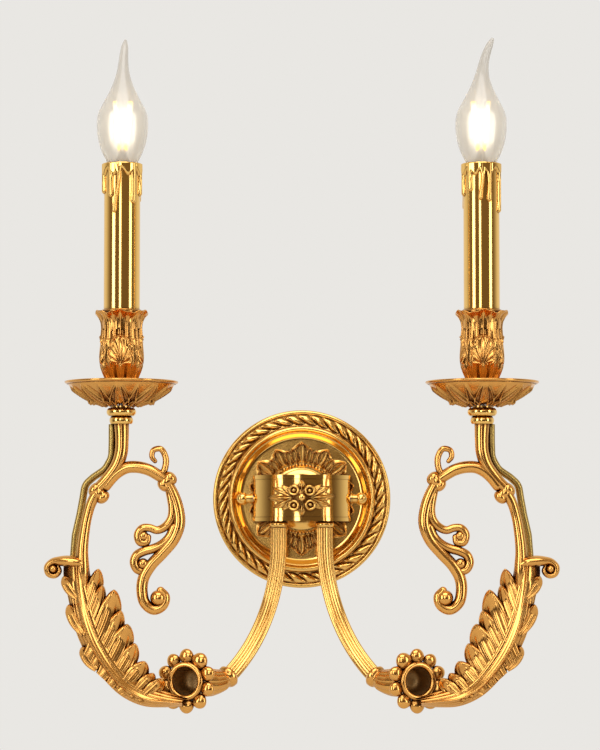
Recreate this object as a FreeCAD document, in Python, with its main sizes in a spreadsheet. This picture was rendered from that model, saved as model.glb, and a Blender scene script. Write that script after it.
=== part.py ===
import FreeCAD, Part
import Sketcher
import math
import os
import re

# A double arm candle wall light in cast, spun and pressed brass.
# Millimetres, +Z up. The wall is the plane Y = 0 and the light stands out of it towards -Y.
# The origin is the centre of the round wall plate on the wall. Pieces of the left arm are built
# on the -X side, and "outward" is the distance from the plate's centre line. The right arm is
# its mirror image, apart from the bulbs, whose bent tips point where they happen to stop.

Vector = FreeCAD.Vector
LEFT, RIGHT = "left", "right"

SIZES = {
    # wall plate: a pressed disc with a rolled rim, a rope band, a half-round ring and a flat field
    "plate_radius": 62.5,
    "plate_sheet": 1.2,
    "plate_rim_width": 3.5,
    "plate_rim_height": 5.5,
    "rope_inner_radius": 51.3,
    "rope_height": 8.5,
    "ring_inner_radius": 47.1,
    "ring_height": 10,
    "field_radius": 40.8,
    "field_height": 5.5,
    "opening_width": 61,
    "opening_height": 23,
    # steel strap that is screwed to the wall, and the yoke that stands on it
    "strap_length": 100,
    "strap_width": 18,
    "strap_sheet": 2,
    "slot_spacing": 78,
    "slot_length": 14,
    "slot_radius": 2.5,
    "cable_radius": 5.5,
    "yoke_width": 57,
    "yoke_sheet": 1.5,
    "yoke_reach": 21,
    # body housing: a half-round box that slips over the yoke
    "housing_width": 68,
    "housing_height": 32,
    "housing_side": 14.5,
    "housing_crown": 22,
    "housing_wall": 1.5,
    "housing_edge_band": 2.7,
    "housing_edge_step": 0.4,
    # side screws
    "thread_radius": 2,
    "screw_depth": 15.4,
    "screw_length": 11,
    "ball_radius": 4.15,
    "ball_neck_radius": 3.3,
    "ball_center_gap": 7.6,
    # arms
    "arm_spread": 15.9,
    "arm_depth": 28,
    "arm_radius": 5.5,
    "arm_bore": 3.2,
    "arm_spigot_radius": 4.9,
    "arm_spigot_height": 9,
    "arm_straight": 14,
    "arm_bend_radius": 115,
    "arm_bend_angle": 52,
    "arm_splay_angle": 42,
    "collar_radius": 6.6,
    "collar_height": 4.5,
    "arm_nut_radius": 7.5,
    "arm_nut_height": 3,
    # flower cup
    "flower_base_radius": 6.6,
    "flower_belly_radius": 8.6,
    "flower_neck_radius": 9.6,
    "flower_lip_radius": 12.5,
    "flower_bore": 9.6,
    "flower_bore_depth": 15,
    "flower_reach": 39.5,
    "flower_fall": 3.5,
    "flower_face_angle": 24,
    "petal_circle": 16.3,
    "petal_radius": 5.6,
    "petal_thickness": 4.4,
    "petal_count": 10,
    # leaf arm and scroll branch
    "candle_spread": 121.8,
    "candle_depth": 90,
    "leaf_sheet": 2.4,
    "leaf_crest_rise": 4,
    "leaf_fold": 9,
    "conduit_radius": 2.5,
    "conduit_bore": 1.8,
    "conduit_bend": 12,
    # candle: heights above the plate's centre
    "stem_top_radius": 4.8,
    "collar_level": 48.7,
    "lower_ring_radius": 8,
    "lower_ring_height": 5.4,
    "upper_ring_radius": 10,
    "upper_ring_height": 5.4,
    "pan_seat_radius": 6.75,
    "pan_seat_height": 1.3,
    "pan_radius": 38.4,
    "pan_depth": 16.7,
    "pan_lip": 3.2,
    "pan_sheet": 1.3,
    "cup_foot_radius": 11.5,
    "cup_neck_radius": 8.8,
    "cup_belly_radius": 14.5,
    "cup_waist_radius": 13.2,
    "cup_rim_radius": 18.8,
    "cup_height": 62.4,
    "cup_floor_height": 20.4,
    "cup_floor_radius": 10.8,
    "cup_seat_height": 25.4,
    "cup_wall": 1.1,
    "nipple_radius": 4.95,
    "nipple_bore": 3.6,
    "nipple_sink": 9,
    "nipple_rise": 10,
    "nut_flats": 13,
    "nut_height": 4.5,
    "bracket_sheet": 1.4,
    "bracket_width": 8,
    "bracket_foot_radius": 8.6,
    "bracket_offset": 8.9,
    "sleeve_radius": 12.25,
    "sleeve_wall": 0.6,
    "sleeve_length": 135.2,
    "holder_radius": 10.4,
    "holder_height": 33,
    "holder_floor": 3,
    "socket_radius": 7.25,
    "socket_wall": 0.5,
    "socket_depth": 20,
    "cap_ring_radius": 14.2,
    "cap_ring_hole": 10.9,
    "cap_ring_height": 7,
    "cap_ring_top": 0.9,
    "drip_radius": 1.7,
    # screw bulb: a bent tip candle bulb
    "bulb_base_level": 219.5,
    "bulb_neck_radius": 7.6,
    "bulb_belly_radius": 17.5,
    "bulb_length": 92,
    "bulb_tip_bend": 8.5,
    "glass_wall": 0.8,
    "bulb_cap_radius": 6.9,
    "bulb_cap_length": 17,
    "bulb_cap_wall": 0.4,
    "thread_pitch": 2.82,
    "insulator_height": 4,
    "contact_radius": 2.4,
    "filament_radius": 0.8,
    "filament_length": 30,
    "filament_circle": 2.4,
    "filament_lean": 6,
    # fits
    "fit_gap": 0.05,
    "running_gap": 0.3,
}

doc = FreeCAD.newDocument("double_arm_wall_light")
sheet = doc.addObject("Spreadsheet::Sheet", "sizes")
for row, (alias, value) in enumerate(SIZES.items(), start=1):
    sheet.set("A%d" % row, alias)
    sheet.set("B%d" % row, str(value))
    sheet.setAlias("B%d" % row, alias)
doc.recompute()

nodes = []


def bound(expression):
    """The same expression with each size written as a cell of the sheet."""
    return re.sub(r"[a-z]\w+", lambda word: "sizes." + word.group() if word.group() in SIZES
                  else word.group(), expression)


def size(expression):
    """Value of an expression of sizes, in millimetres or degrees."""
    return float(sheet.evalExpression(bound(expression)))


def keep(piece, label):
    """Names a sub-part and puts it on the list of what is exported."""
    piece.Label = label
    nodes.append(piece)
    return piece


# Sketched pieces -------------------------------------------------------------------------

def origin_plane(body, role):
    """One of a body's own origin planes."""
    return next(item for item in body.Origin.OriginFeatures if item.Role == role)


def hold_point(sketch, geometry, position, x, y):
    """Ties a sketch point to a pair of size expressions."""
    for kind, expression in (("DistanceX", x), ("DistanceY", y)):
        constraint = Sketcher.Constraint(kind, -1, 1, geometry, position, size(expression))
        index = sketch.addConstraint(constraint)
        sketch.setExpression("Constraints[%d]" % index, bound(expression))


def new_sketch(body, role):
    sketch = body.newObject("Sketcher::SketchObject", "Sketch")
    sketch.AttachmentSupport = [(origin_plane(body, role), "")]
    sketch.MapMode = "FlatFace"
    return sketch


def sketch_arc(start, middle, end):
    """Arc through three points that runs anticlockwise, as sketches want it."""
    circle = Part.Circle(start, middle, end)
    center = circle.Center
    turns = [math.atan2(spot.y - center.y, spot.x - center.x) for spot in (start, middle, end)]
    first, halfway, last = turns
    if (halfway - first) % (2 * math.pi) > (last - first) % (2 * math.pi):
        first, last = last, first
    if last < first:
        last += 2 * math.pi
    upright_circle = Part.Circle(center, Vector(0, 0, 1), circle.Radius)
    return Part.ArcOfCircle(upright_circle, first, last)


def outline_sketch(body, role, corners):
    """Closed outline. A corner is (x, y), or (mid x, mid y, x, y) if an arc leads to it."""
    sketch = new_sketch(body, role)
    spots = [Vector(size(corner[-2]), size(corner[-1]), 0) for corner in corners]
    sides = []
    for index, corner in enumerate(corners):
        start = spots[index - 1]
        if len(corner) == 2:
            sides.append(sketch.addGeometry(Part.LineSegment(start, spots[index])))
        else:
            middle = Vector(size(corner[0]), size(corner[1]), 0)
            sides.append(sketch.addGeometry(sketch_arc(start, middle, spots[index])))
    ends = []
    for index, side in enumerate(sides):
        far = sketch.Geometry[side].EndPoint.distanceToPoint(spots[index])
        ends.append((1, 2) if far < 1e-6 else (2, 1))
    for index, side in enumerate(sides):
        following = (index + 1) % len(sides)
        joint = Sketcher.Constraint("Coincident", side, ends[index][1],
                                    sides[following], ends[following][0])
        sketch.addConstraint(joint)
    for index, corner in enumerate(corners):
        hold_point(sketch, sides[index], ends[index][1], corner[-2], corner[-1])
        if len(corner) == 4:
            middle = Vector(size(corner[0]), size(corner[1]), 0)
            point = sketch.addGeometry(Part.Point(middle), True)
            hold_point(sketch, point, 1, corner[0], corner[1])
            sketch.addConstraint(Sketcher.Constraint("PointOnObject", point, 1, sides[index]))
    return sketch


def circle_sketch(body, role, circles):
    """Circles given as (x, y, radius)."""
    sketch = new_sketch(body, role)
    for x, y, radius in circles:
        circle = Part.Circle(Vector(size(x), size(y), 0), Vector(0, 0, 1), size(radius))
        index = sketch.addGeometry(circle)
        hold_point(sketch, index, 3, x, y)
        limit = sketch.addConstraint(Sketcher.Constraint("Radius", index, size(radius)))
        sketch.setExpression("Constraints[%d]" % limit, bound(radius))
    return sketch


def new_body(label, x="0", y="0", z="0"):
    """Empty body at a place that follows the sizes."""
    body = doc.addObject("PartDesign::Body", "Body")
    keep(body, label)
    for axis, expression in (("x", x), ("y", y), ("z", z)):
        body.setExpression(".Placement.Base." + axis, bound(expression))
    return body


def add_turned(body, role, axis, corners):
    """Turns an outline about the upright (V_Axis) or level (H_Axis) line of its sketch."""
    turned = body.newObject("PartDesign::Revolution", "Turned")
    sketch = outline_sketch(body, role, corners)
    turned.Profile = sketch
    turned.ReferenceAxis = (sketch, [axis])
    turned.Angle = 360
    return turned


def add_pad(body, sketch, length):
    """Thickens a sketch by half its length to each side."""
    pad = body.newObject("PartDesign::Pad", "Pad")
    pad.Profile = sketch
    pad.Midplane = True
    pad.setExpression("Length", bound(length))
    return pad


def add_pocket(body, sketch, length=None, both_ways=True):
    """Cuts a sketch out of a body, right through it or over a stated length."""
    doc.recompute()
    before = body.Shape.Volume
    pocket = body.newObject("PartDesign::Pocket", "Pocket")
    pocket.Profile = sketch
    pocket.Midplane = both_ways
    if length is None:
        pocket.Type = "ThroughAll"
    else:
        pocket.setExpression("Length", bound(length))
    doc.recompute()
    if body.Shape.Volume >= before:
        raise ValueError(body.Label + ": a pocket cuts nothing")
    return pocket


def upright(label, corners, x="-candle_spread", y="-candle_depth"):
    """Piece turned about its own upright axis."""
    body = new_body(label, x, y)
    add_turned(body, "XZ_Plane", "V_Axis", corners)
    return body


def twin(source):
    """The right arm's mirror image of a left piece."""
    mirror = doc.addObject("Part::Mirroring", "Mirror")
    mirror.Source = source
    mirror.Normal = Vector(1, 0, 0)
    return keep(mirror, source.Label.replace(LEFT, RIGHT))


def shaped(label, shape):
    """Piece whose shape is lofted, swept or joined from curves."""
    feature = doc.addObject("Part::Feature", "Shaped")
    feature.Shape = shape
    return keep(feature, label)


# Curved pieces ---------------------------------------------------------------------------

def ring_at(point, direction, radius, reference):
    """Circle square to a direction, with its seam on the side of a reference vector."""
    circle = Part.makeCircle(radius)
    across = reference.cross(direction)
    circle.Placement = FreeCAD.Placement(point, FreeCAD.Rotation(reference, across, direction, "ZXY"))
    return Part.Wire(circle)


def spine_through(points):
    """Smooth curve through points, with the parameter of each point."""
    lengths = [0.0]
    for first, second in zip(points, points[1:]):
        lengths.append(lengths[-1] + first.distanceToPoint(second))
    spine = Part.BSplineCurve()
    spine.interpolate(Points=points, Parameters=lengths)
    return spine, lengths


def round_loft(points, radii, reference):
    """Round bar of changing thickness along a smooth curve."""
    spine, lengths = spine_through(points)
    rings = []
    for length, radius in zip(lengths, radii):
        rings.append(ring_at(spine.value(length), spine.tangent(length)[0], radius, reference))
    return Part.makeLoft(rings, True)


def bent_wire(points, bend):
    """Straight runs joined by tangent arcs, each as large as its runs allow up to bend."""
    edges = []
    start = points[0]
    for before, corner, after in zip(points, points[1:], points[2:]):
        arriving = (corner - before).normalize()
        leaving = (after - corner).normalize()
        turn = arriving.getAngle(leaving)
        reach = min(bend * math.tan(turn / 2), 0.45 * before.distanceToPoint(corner),
                    0.45 * corner.distanceToPoint(after))
        radius = reach / math.tan(turn / 2)
        inward = (leaving - arriving).normalize()
        middle = corner + inward * (radius / math.cos(turn / 2) - radius)
        first = corner - arriving * reach
        last = corner + leaving * reach
        edges.append(Part.LineSegment(start, first).toShape())
        edges.append(Part.Arc(first, middle, last).toShape())
        start = last
    edges.append(Part.LineSegment(start, points[-1]).toShape())
    return Part.Wire(edges)


def tube_along(wire, radius, reference=Vector(0, 1, 0)):
    """Solid round bar swept along a wire."""
    edge = wire.OrderedEdges[0]
    direction = edge.tangentAt(edge.FirstParameter)
    across = reference.cross(direction).cross(direction) * -1
    profile = ring_at(edge.valueAt(edge.FirstParameter), direction, radius, across.normalize())
    return wire.makePipeShell([profile], True, False)


BALL_AXIS = Vector(0.05, -1, 0.1)


def ball(center, radius):
    """Sphere on a tilted axis, so that no pole or seam lies where it meets other pieces."""
    return Part.makeSphere(radius, center, BALL_AXIS)


def joined(shapes):
    """One solid from overlapping shapes, added one after another."""
    whole = shapes[0]
    for shape in shapes[1:]:
        whole = whole.fuse(shape)
    return whole


# Wall plate ------------------------------------------------------------------------------
# Pressed sheet, turned about the line square to the wall. It is hollow behind, and a window in
# its middle lets the yoke and the wires through.

def build_wall_plate():
    body = new_body("wall_plate")
    rim_inner = "plate_radius - plate_rim_width"
    rope_middle = "(plate_radius - plate_rim_width + rope_inner_radius) / 2"
    ring_middle = "(rope_inner_radius + ring_inner_radius) / 2"
    cove_middle = "(ring_inner_radius + field_radius) / 2"
    front = [
        ("plate_radius", "0"),
        ("plate_radius", "-plate_rim_height + plate_rim_width / 2"),
        ("plate_radius - plate_rim_width / 2", "-plate_rim_height", rim_inner,
         "-plate_rim_height + plate_rim_width / 2"),
        (rope_middle, "-rope_height", "rope_inner_radius", "-rope_height + 2"),
        (ring_middle, "-ring_height", "ring_inner_radius", "-ring_height + 2"),
        (cove_middle, "-field_height - 0.8", "field_radius", "-field_height"),
        ("opening_width / 4", "-field_height"),
    ]
    back = [
        ("opening_width / 4", "-field_height + plate_sheet"),
        ("field_radius", "-field_height + plate_sheet"),
        ("ring_inner_radius", "-ring_height + 2 + plate_sheet"),
        ("rope_inner_radius", "-rope_height + 2 + plate_sheet"),
        (rim_inner, "-plate_rim_height + plate_rim_width / 2 + plate_sheet"),
        ("plate_radius - plate_sheet", "-plate_rim_height + plate_rim_width / 2 + plate_sheet"),
        ("plate_radius - plate_sheet", "0"),
    ]
    add_turned(body, "XY_Plane", "V_Axis", front + back)
    window = outline_sketch(body, "XZ_Plane", [
        ("-opening_width / 2", "-opening_height / 2"),
        ("opening_width / 2", "-opening_height / 2"),
        ("opening_width / 2", "opening_height / 2"),
        ("-opening_width / 2", "opening_height / 2"),
    ])
    add_pocket(body, window)


# Strap and yoke --------------------------------------------------------------------------
# The strap is a flat bar on the wall with a slot at each end for the wall screws. The yoke is a
# bent bar fixed on it, and its two ears take the side screws.

def slot_outline(center):
    """Round-ended slot along X."""
    reach = "(slot_length / 2 - slot_radius)"
    return [
        ("%s - %s" % (center, reach), "slot_radius"),
        ("%s - %s - slot_radius" % (center, reach), "0", "%s - %s" % (center, reach), "-slot_radius"),
        ("%s + %s" % (center, reach), "-slot_radius"),
        ("%s + %s + slot_radius" % (center, reach), "0", "%s + %s" % (center, reach), "slot_radius"),
    ]


def build_mounting_strap():
    body = new_body("mounting_strap", y="-strap_sheet / 2")
    end = "strap_length / 2"
    side = "strap_width / 2"
    outline = [("-" + end, "-" + side), (end, "-" + side), (end, side), ("-" + end, side)]
    add_pad(body, outline_sketch(body, "XZ_Plane", outline), "strap_sheet")
    for center in ("-slot_spacing / 2", "slot_spacing / 2"):
        add_pocket(body, outline_sketch(body, "XZ_Plane", slot_outline(center)))
    holes = [("0", "0", "cable_radius"), (EARTH_SPOT, "0", "thread_radius")]
    add_pocket(body, circle_sketch(body, "XZ_Plane", holes))


EARTH_SPOT = "yoke_width / 3.5"


def build_mounting_yoke():
    body = new_body("mounting_yoke")
    outer = "yoke_width / 2"
    inner = "yoke_width / 2 - yoke_sheet"
    foot = "-strap_sheet"
    floor = "-strap_sheet - yoke_sheet"
    tip = "-strap_sheet - yoke_reach"
    outline = [
        ("-(%s)" % outer, foot), (outer, foot), (outer, tip), (inner, tip), (inner, floor),
        ("-(%s)" % inner, floor), ("-(%s)" % inner, tip), ("-(%s)" % outer, tip),
    ]
    add_pad(body, outline_sketch(body, "XY_Plane", outline), "strap_width")
    holes = [("0", "0", "cable_radius"), (EARTH_SPOT, "0", "thread_radius")]
    add_pocket(body, circle_sketch(body, "XZ_Plane", holes))
    threads = circle_sketch(body, "YZ_Plane", [("-screw_depth", "0", "thread_radius + fit_gap")])
    add_pocket(body, threads)


def build_earth_screw():
    """Pan head screw that clamps the earth wire and holds the yoke to the strap."""
    body = new_body("earth_screw", x=EARTH_SPOT)
    shank = "thread_radius - fit_gap"
    head = "thread_radius * 2"
    seat = "-strap_sheet - yoke_sheet"
    add_turned(body, "XY_Plane", "V_Axis", [
        ("0", "-0.2"), (shank, "-0.2"), (shank, seat), (head, seat),
        ("%s * 0.8" % head, seat + " - 2", "0", seat + " - 2.6"),
    ])


# Terminal block: a plastic block on the yoke's floor beside the cable hole, with three screws.

def build_terminal_block():
    depth, width, height = 10.0, 12.0, 15.0
    floor = size("-strap_sheet - yoke_sheet")
    left = size("-yoke_width / 2 + yoke_sheet") + 5
    corner = Vector(left, floor - depth, -height / 2)
    block = Part.makeBox(width, depth, height, corner)
    spots = [Vector(left + width / 2, floor - depth, level * height / 3) for level in (-1, 0, 1)]
    screw_radius, screw_depth = 1.6, 6.0
    wells = [Part.makeCylinder(screw_radius + size("fit_gap"), screw_depth, spot, Vector(0, 1, 0))
             for spot in spots]
    shaped("terminal_block", block.cut(Part.makeCompound(wells)))
    recess = Vector(0, 1, 0)
    screws = [Part.makeCylinder(screw_radius, screw_depth - 1, spot + recess, Vector(0, 1, 0))
              for spot in spots]
    shaped("terminal_screws", Part.makeCompound(screws))


# Body housing and its ornament -----------------------------------------------------------

def housing_outline(inset):
    """Half-round outline seen from above: straight sides by the plate and a bowed front."""
    side = "(housing_width / 2 - %s)" % inset
    corner = "-(field_height + housing_side)"
    return [
        ("-" + side, "-field_height"),
        (side, "-field_height"),
        (side, corner),
        ("0", "%s - housing_crown + %s" % (corner, inset), "-" + side, corner),
    ]


def build_body_housing():
    body = new_body("body_housing")
    add_pad(body, outline_sketch(body, "XY_Plane", housing_outline("housing_edge_step")),
            "housing_height")
    for sign in ("", "-"):
        band = outline_sketch(body, "XY_Plane", housing_outline("0"))
        height = "(housing_height - housing_edge_band) / 2"
        band.setExpression(".AttachmentOffset.Base.z", bound(sign + height))
        add_pad(body, band, "housing_edge_band")
    inside = housing_outline("housing_wall")
    inside[0] = (inside[0][0], "0")
    inside[1] = (inside[1][0], "0")
    add_pocket(body, outline_sketch(body, "XY_Plane", inside), "housing_height - 2 * housing_wall")
    seats = [("-arm_spread", "-arm_depth", "arm_spigot_radius + fit_gap"),
             ("arm_spread", "-arm_depth", "arm_spigot_radius + fit_gap")]
    add_pocket(body, circle_sketch(body, "XY_Plane", seats), "housing_height", both_ways=False)
    sides = circle_sketch(body, "YZ_Plane", [("-screw_depth", "0", "thread_radius + running_gap")])
    add_pocket(body, sides)
    front = circle_sketch(body, "XZ_Plane", [("0", "0", "thread_radius")])
    add_pocket(body, front, "(field_height + housing_side + housing_crown) * 2")


FRONT_LEVEL = "field_height + housing_side + housing_crown"


def front_bow():
    """Radius of the housing's bowed front, and the depth of the bow's centre."""
    half = size("housing_width / 2 - housing_edge_step")
    crown = size("housing_crown - housing_edge_step")
    radius = (half * half + crown * crown) / (2 * crown)
    return radius, size(FRONT_LEVEL) - size("housing_edge_step") - radius


def ornament_petal(along, level, length, width, tilt):
    """Oval column square to the wall: its place, half length, half width and tilt."""
    oval = Part.Ellipse(Vector(0, 0, 0), length, width).toShape()
    face = Part.Face(Part.Wire(oval))
    face.rotate(Vector(0, 0, 0), Vector(0, 0, 1), tilt)
    face.rotate(Vector(0, 0, 0), Vector(1, 0, 0), 90)
    face.translate(Vector(along, 0, level))
    return face.extrude(Vector(0, -2 * size(FRONT_LEVEL), 0))


def build_body_ornament():
    """Cast flower: a middle bead, four berries, two petals and a five-lobed leaf to each side.
    Its back follows the housing's bow."""
    thickness = 2.2
    petals = [ornament_petal(0, 0, 8.2, 7.4, 0)]
    for tilt in (90, -90):
        petals.append(ornament_petal(0, math.copysign(9.3, tilt), 3.7, 2.7, 90))
    for side in (-1, 1):
        for tilt, start, length in ((0, 6.5, 8.5), (36, 6.5, 6.6), (-36, 6.5, 6.6), (68, 5.5, 4.8),
                                    (-68, 5.5, 4.8)):
            turn = math.radians(tilt)
            along = side * (start + length * math.cos(turn))
            petals.append(ornament_petal(along, length * math.sin(turn), length, 2.5, side * tilt))
    radius, center = front_bow()
    height = size("housing_height")
    foot = Vector(0, -center, -height / 2)
    shell = Part.makeCylinder(radius + thickness, height, foot)
    shell = shell.cut(Part.makeCylinder(radius, height, foot))
    relief = joined([petal.common(shell) for petal in petals])
    spots = [(0, 0, 2.9)] + [(along, level, 2.8) for along in (-5.3, 5.3) for level in (-5.2, 5.2)]
    for along, level, bead_radius in spots:
        depth = center + math.sqrt((radius + thickness) ** 2 - along ** 2)
        relief = relief.fuse(ball(Vector(along, -depth, level), bead_radius))
    bore = Part.makeCylinder(size("thread_radius"), 3, Vector(0, -center - radius - 1.6, 0),
                             Vector(0, 1, 0))
    back = Part.makeCylinder(radius, height, foot)
    shaped("body_ornament", relief.cut(back).cut(bore))


def build_ornament_screw():
    """Screw from inside the housing into the ornament's back."""
    front = size(FRONT_LEVEL) - size("housing_edge_step")
    shank = size("thread_radius - fit_gap")
    head_radius, head_height = 3.6, 2.0
    bow, center = front_bow()
    inner_bow = bow - size("housing_wall")
    wall = size("housing_wall - housing_edge_step") + head_radius ** 2 / inner_bow
    screw = Part.makeCylinder(shank, wall + 1.5, Vector(0, -front - 1.5, 0), Vector(0, 1, 0))
    head = Part.makeCylinder(head_radius, head_height, Vector(0, -front + wall, 0), Vector(0, 1, 0))
    shaped("ornament_screw", joined([screw, head]))


# Side screws -----------------------------------------------------------------------------
# A threaded steel rod with a brass ball and neck screwed on its outer end.

def build_side_screws():
    outer = "housing_width / 2"
    knob_bore = "thread_radius + fit_gap"
    knob_end = outer + " + ball_center_gap - ball_radius / 3"
    rod = new_body("side_screw_left", y="-screw_depth")
    radius = "thread_radius"
    add_turned(rod, "XZ_Plane", "H_Axis", [
        ("-(%s)" % knob_end, "0"), ("-(%s)" % knob_end, radius),
        ("-(%s) + screw_length" % outer, radius), ("-(%s) + screw_length" % outer, "0"),
    ])
    twin(rod)
    knob = new_body("side_ball_left", y="-screw_depth")
    center = "-(%s) - ball_center_gap" % outer
    near = center + " + ball_radius * 0.6"
    face = "-(%s) - fit_gap" % outer
    add_turned(knob, "XZ_Plane", "H_Axis", [
        (center + " - ball_radius", "0"),
        (center + " - ball_radius * 0.28", "ball_radius * 0.96", near, "ball_radius * 0.8"),
        (near, "ball_neck_radius * 0.8"),
        (face + " - 1.2", "ball_neck_radius * 0.8"),
        (face + " - 1.2", "ball_neck_radius"),
        (face, "ball_neck_radius"),
        (face, knob_bore),
        ("-(%s)" % knob_end, knob_bore),
        ("-(%s)" % knob_end, "0"),
    ])
    twin(knob)


# Arms ------------------------------------------------------------------------------------
# A brass tube goes straight down from the housing, then bends outward and forward.

def arm_end():
    """Centre of the arm's lower end, and the way the arm points there."""
    splay = math.radians(size("arm_splay_angle"))
    bend = math.radians(size("arm_bend_angle"))
    level = Vector(-math.cos(splay), -math.sin(splay), 0)
    radius = size("arm_bend_radius")
    start = Vector(-size("arm_spread"), -size("arm_depth"), -size("housing_height / 2 + arm_straight"))
    end = start + level * (radius * (1 - math.cos(bend))) + Vector(0, 0, -radius * math.sin(bend))
    return end, level * math.sin(bend) + Vector(0, 0, -math.cos(bend))


def build_arm_tubes():
    bottom = -size("housing_height / 2")
    axis = Vector(-size("arm_spread"), -size("arm_depth"), 0)
    shoulder = axis + Vector(0, 0, bottom - size("collar_height"))
    top = axis + Vector(0, 0, bottom + size("arm_spigot_height"))
    knee = axis + Vector(0, 0, bottom - size("arm_straight"))
    end, way = arm_end()
    splay = math.radians(size("arm_splay_angle"))
    half = math.radians(size("arm_bend_angle")) / 2
    radius = size("arm_bend_radius")
    middle = knee + Vector(-math.cos(splay), -math.sin(splay), 0) * (radius * (1 - math.cos(half)))
    middle.z = middle.z - radius * math.sin(half)
    bow = Part.Arc(knee, middle, end).toShape()
    body_wire = Part.Wire([Part.LineSegment(shoulder, knee).toShape(), bow])
    bore_wire = Part.Wire([Part.LineSegment(top, knee).toShape(), bow])
    across = Vector(0, 1, 0)
    tube = body_wire.makePipeShell([ring_at(shoulder, Vector(0, 0, -1), size("arm_radius"), across)],
                                   True, False)
    bore = bore_wire.makePipeShell([ring_at(top, Vector(0, 0, -1), size("arm_bore"), across)],
                                   True, False)
    spigot = Part.makeCylinder(size("arm_spigot_radius"), top.z - shoulder.z, shoulder)
    twin(shaped("arm_tube_left", tube.fuse(spigot).cut(bore)))


def build_arm_collars():
    bottom = "-housing_height / 2"
    bore = "arm_spigot_radius + fit_gap"
    edge = "collar_radius - collar_height / 3"
    twin(upright("arm_collar_left", [
        (bore, bottom),
        (edge, bottom),
        ("collar_radius", bottom + " - collar_height / 2", edge, bottom + " - collar_height"),
        (bore, bottom + " - collar_height"),
    ], x="-arm_spread", y="-arm_depth"))
    seat = "-housing_height / 2 + housing_wall"
    twin(upright("arm_nut_left", [
        (bore, seat),
        ("arm_nut_radius", seat),
        ("arm_nut_radius", seat + " + arm_nut_height"),
        (bore, seat + " + arm_nut_height"),
    ], x="-arm_spread", y="-arm_depth"))


# Flower cup ------------------------------------------------------------------------------
# A cast bell on the arm's end that turns up to face the room, with ten round petals.

def flower_frame():
    """Mouth centre and the way the mouth faces."""
    base, way = arm_end()
    splay = math.radians(size("arm_splay_angle"))
    face = math.radians(size("flower_face_angle"))
    facing = Vector(-math.sin(face), -math.cos(face), 0)
    run = Vector(-math.cos(splay), -math.sin(splay), 0) * size("flower_reach")
    return base + run + Vector(0, 0, -size("flower_fall")), facing


def flower_spine():
    base, way = arm_end()
    mouth, facing = flower_frame()
    pull = size("flower_reach") * 0.36
    curve = Part.BezierCurve()
    curve.setPoles([base, base + way * pull, mouth - facing * pull, mouth])
    return curve


PETAL_STEP = 0.2


def round_disc(radius, half):
    """Disc with a rounded rim, half its thickness to each side of the origin."""
    flat = radius - half
    bulge = half * math.sqrt(0.5)
    lower = Part.Arc(Vector(flat, 0, -half), Vector(flat + bulge, 0, -bulge), Vector(radius, 0, 0))
    upper = Part.Arc(Vector(radius, 0, 0), Vector(flat + bulge, 0, bulge), Vector(flat, 0, half))
    inner = Part.makePolygon([Vector(flat, 0, half), Vector(0, 0, half), Vector(0, 0, -half),
                              Vector(flat, 0, -half)])
    outline = Part.Wire([lower.toShape(), upper.toShape()] + inner.Edges)
    return Part.Face(outline).revolve(Vector(), Vector(0, 0, 1), 360)


def flower_shell():
    """Outside of the bell with its petals, before it is hollowed."""
    curve = flower_spine()
    stations = ((0, "flower_base_radius"), (0.12, "flower_base_radius - 0.9"),
                (0.4, "flower_belly_radius"), (0.7, "flower_neck_radius"), (0.88, "flower_bore + 1.8"),
                (1, "flower_lip_radius"))
    rings = [ring_at(curve.value(place), curve.tangent(place)[0], size(radius), Vector(0, 0, 1))
             for place, radius in stations]
    shapes = [Part.makeLoft(rings, True)]
    mouth, facing = flower_frame()
    turn = FreeCAD.Rotation(Vector(0, 0, 1), facing)
    radius = size("petal_radius")
    for index in range(round(size("petal_count"))):
        angle = 2 * math.pi * index / size("petal_count")
        spot = Vector(math.cos(angle), math.sin(angle), 0) * size("petal_circle")
        half = size("petal_thickness") / 2 + PETAL_STEP * (index % 2)
        petal = round_disc(radius, half)
        petal.Placement = FreeCAD.Placement(mouth - facing * 1.4 + turn.multVec(spot), turn)
        shapes.append(petal)
    flare = Part.makeCylinder(size("petal_circle"), 2.4, mouth - facing * 2.4, facing)
    return joined(shapes + [flare])


def build_flower_cups():
    mouth, facing = flower_frame()
    depth = size("flower_bore_depth")
    throat = Part.makeCone(size("flower_bore") - 2, size("flower_bore"), depth + 4,
                           mouth - facing * depth, facing)
    bottom = ball(mouth - facing * depth, size("flower_bore") - 2.2)
    shell = flower_shell()
    twin(shaped("flower_cup_left", shell.cut(joined([throat, bottom]))))
    return shell


# Scroll branch ---------------------------------------------------------------------------
# One casting that lies in the candle's plane: the stem that carries the pan, and a C-scroll
# hung from it by an arch. Stations are (outward, height, radius).

STEM_UPPER = ((121.6, 45.0, 4.7), (121.3, 38.0, 4.5), (121.8, 29.5, 4.4), (124.2, 21.7, 4.2),
              (130.0, 13.0, 4.0), (137.5, 4.8, 3.8))
STEM_LOWER = ((137.5, 2.8, 3.8), (141.4, -4.0, 3.4), (144.1, -12.7, 3.2), (146.3, -24.8, 3.4),
              (147.5, -37.0, 3.8), (147.2, -50.0, 4.2), (146.6, -60.0, 2.6))
ARCH = ((132.0, 7.0, 3.6), (127.8, 12.5, 3.8), (123.3, 16.6, 3.9), (117.6, 19.4, 4.0),
        (111.1, 19.7, 4.0), (103.0, 17.7, 3.9), (96.4, 14.0, 3.8), (90.0, 9.6, 3.6))
HOOK = ((94.5, 13.5, 2.4), (92.2, 19.0, 2.2), (91.9, 26.5, 2.1), (95.5, 32.0, 2.0),
        (100.2, 30.8, 1.9), (100.9, 26.3, 1.8), (98.9, 23.6, 1.5))
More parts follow.
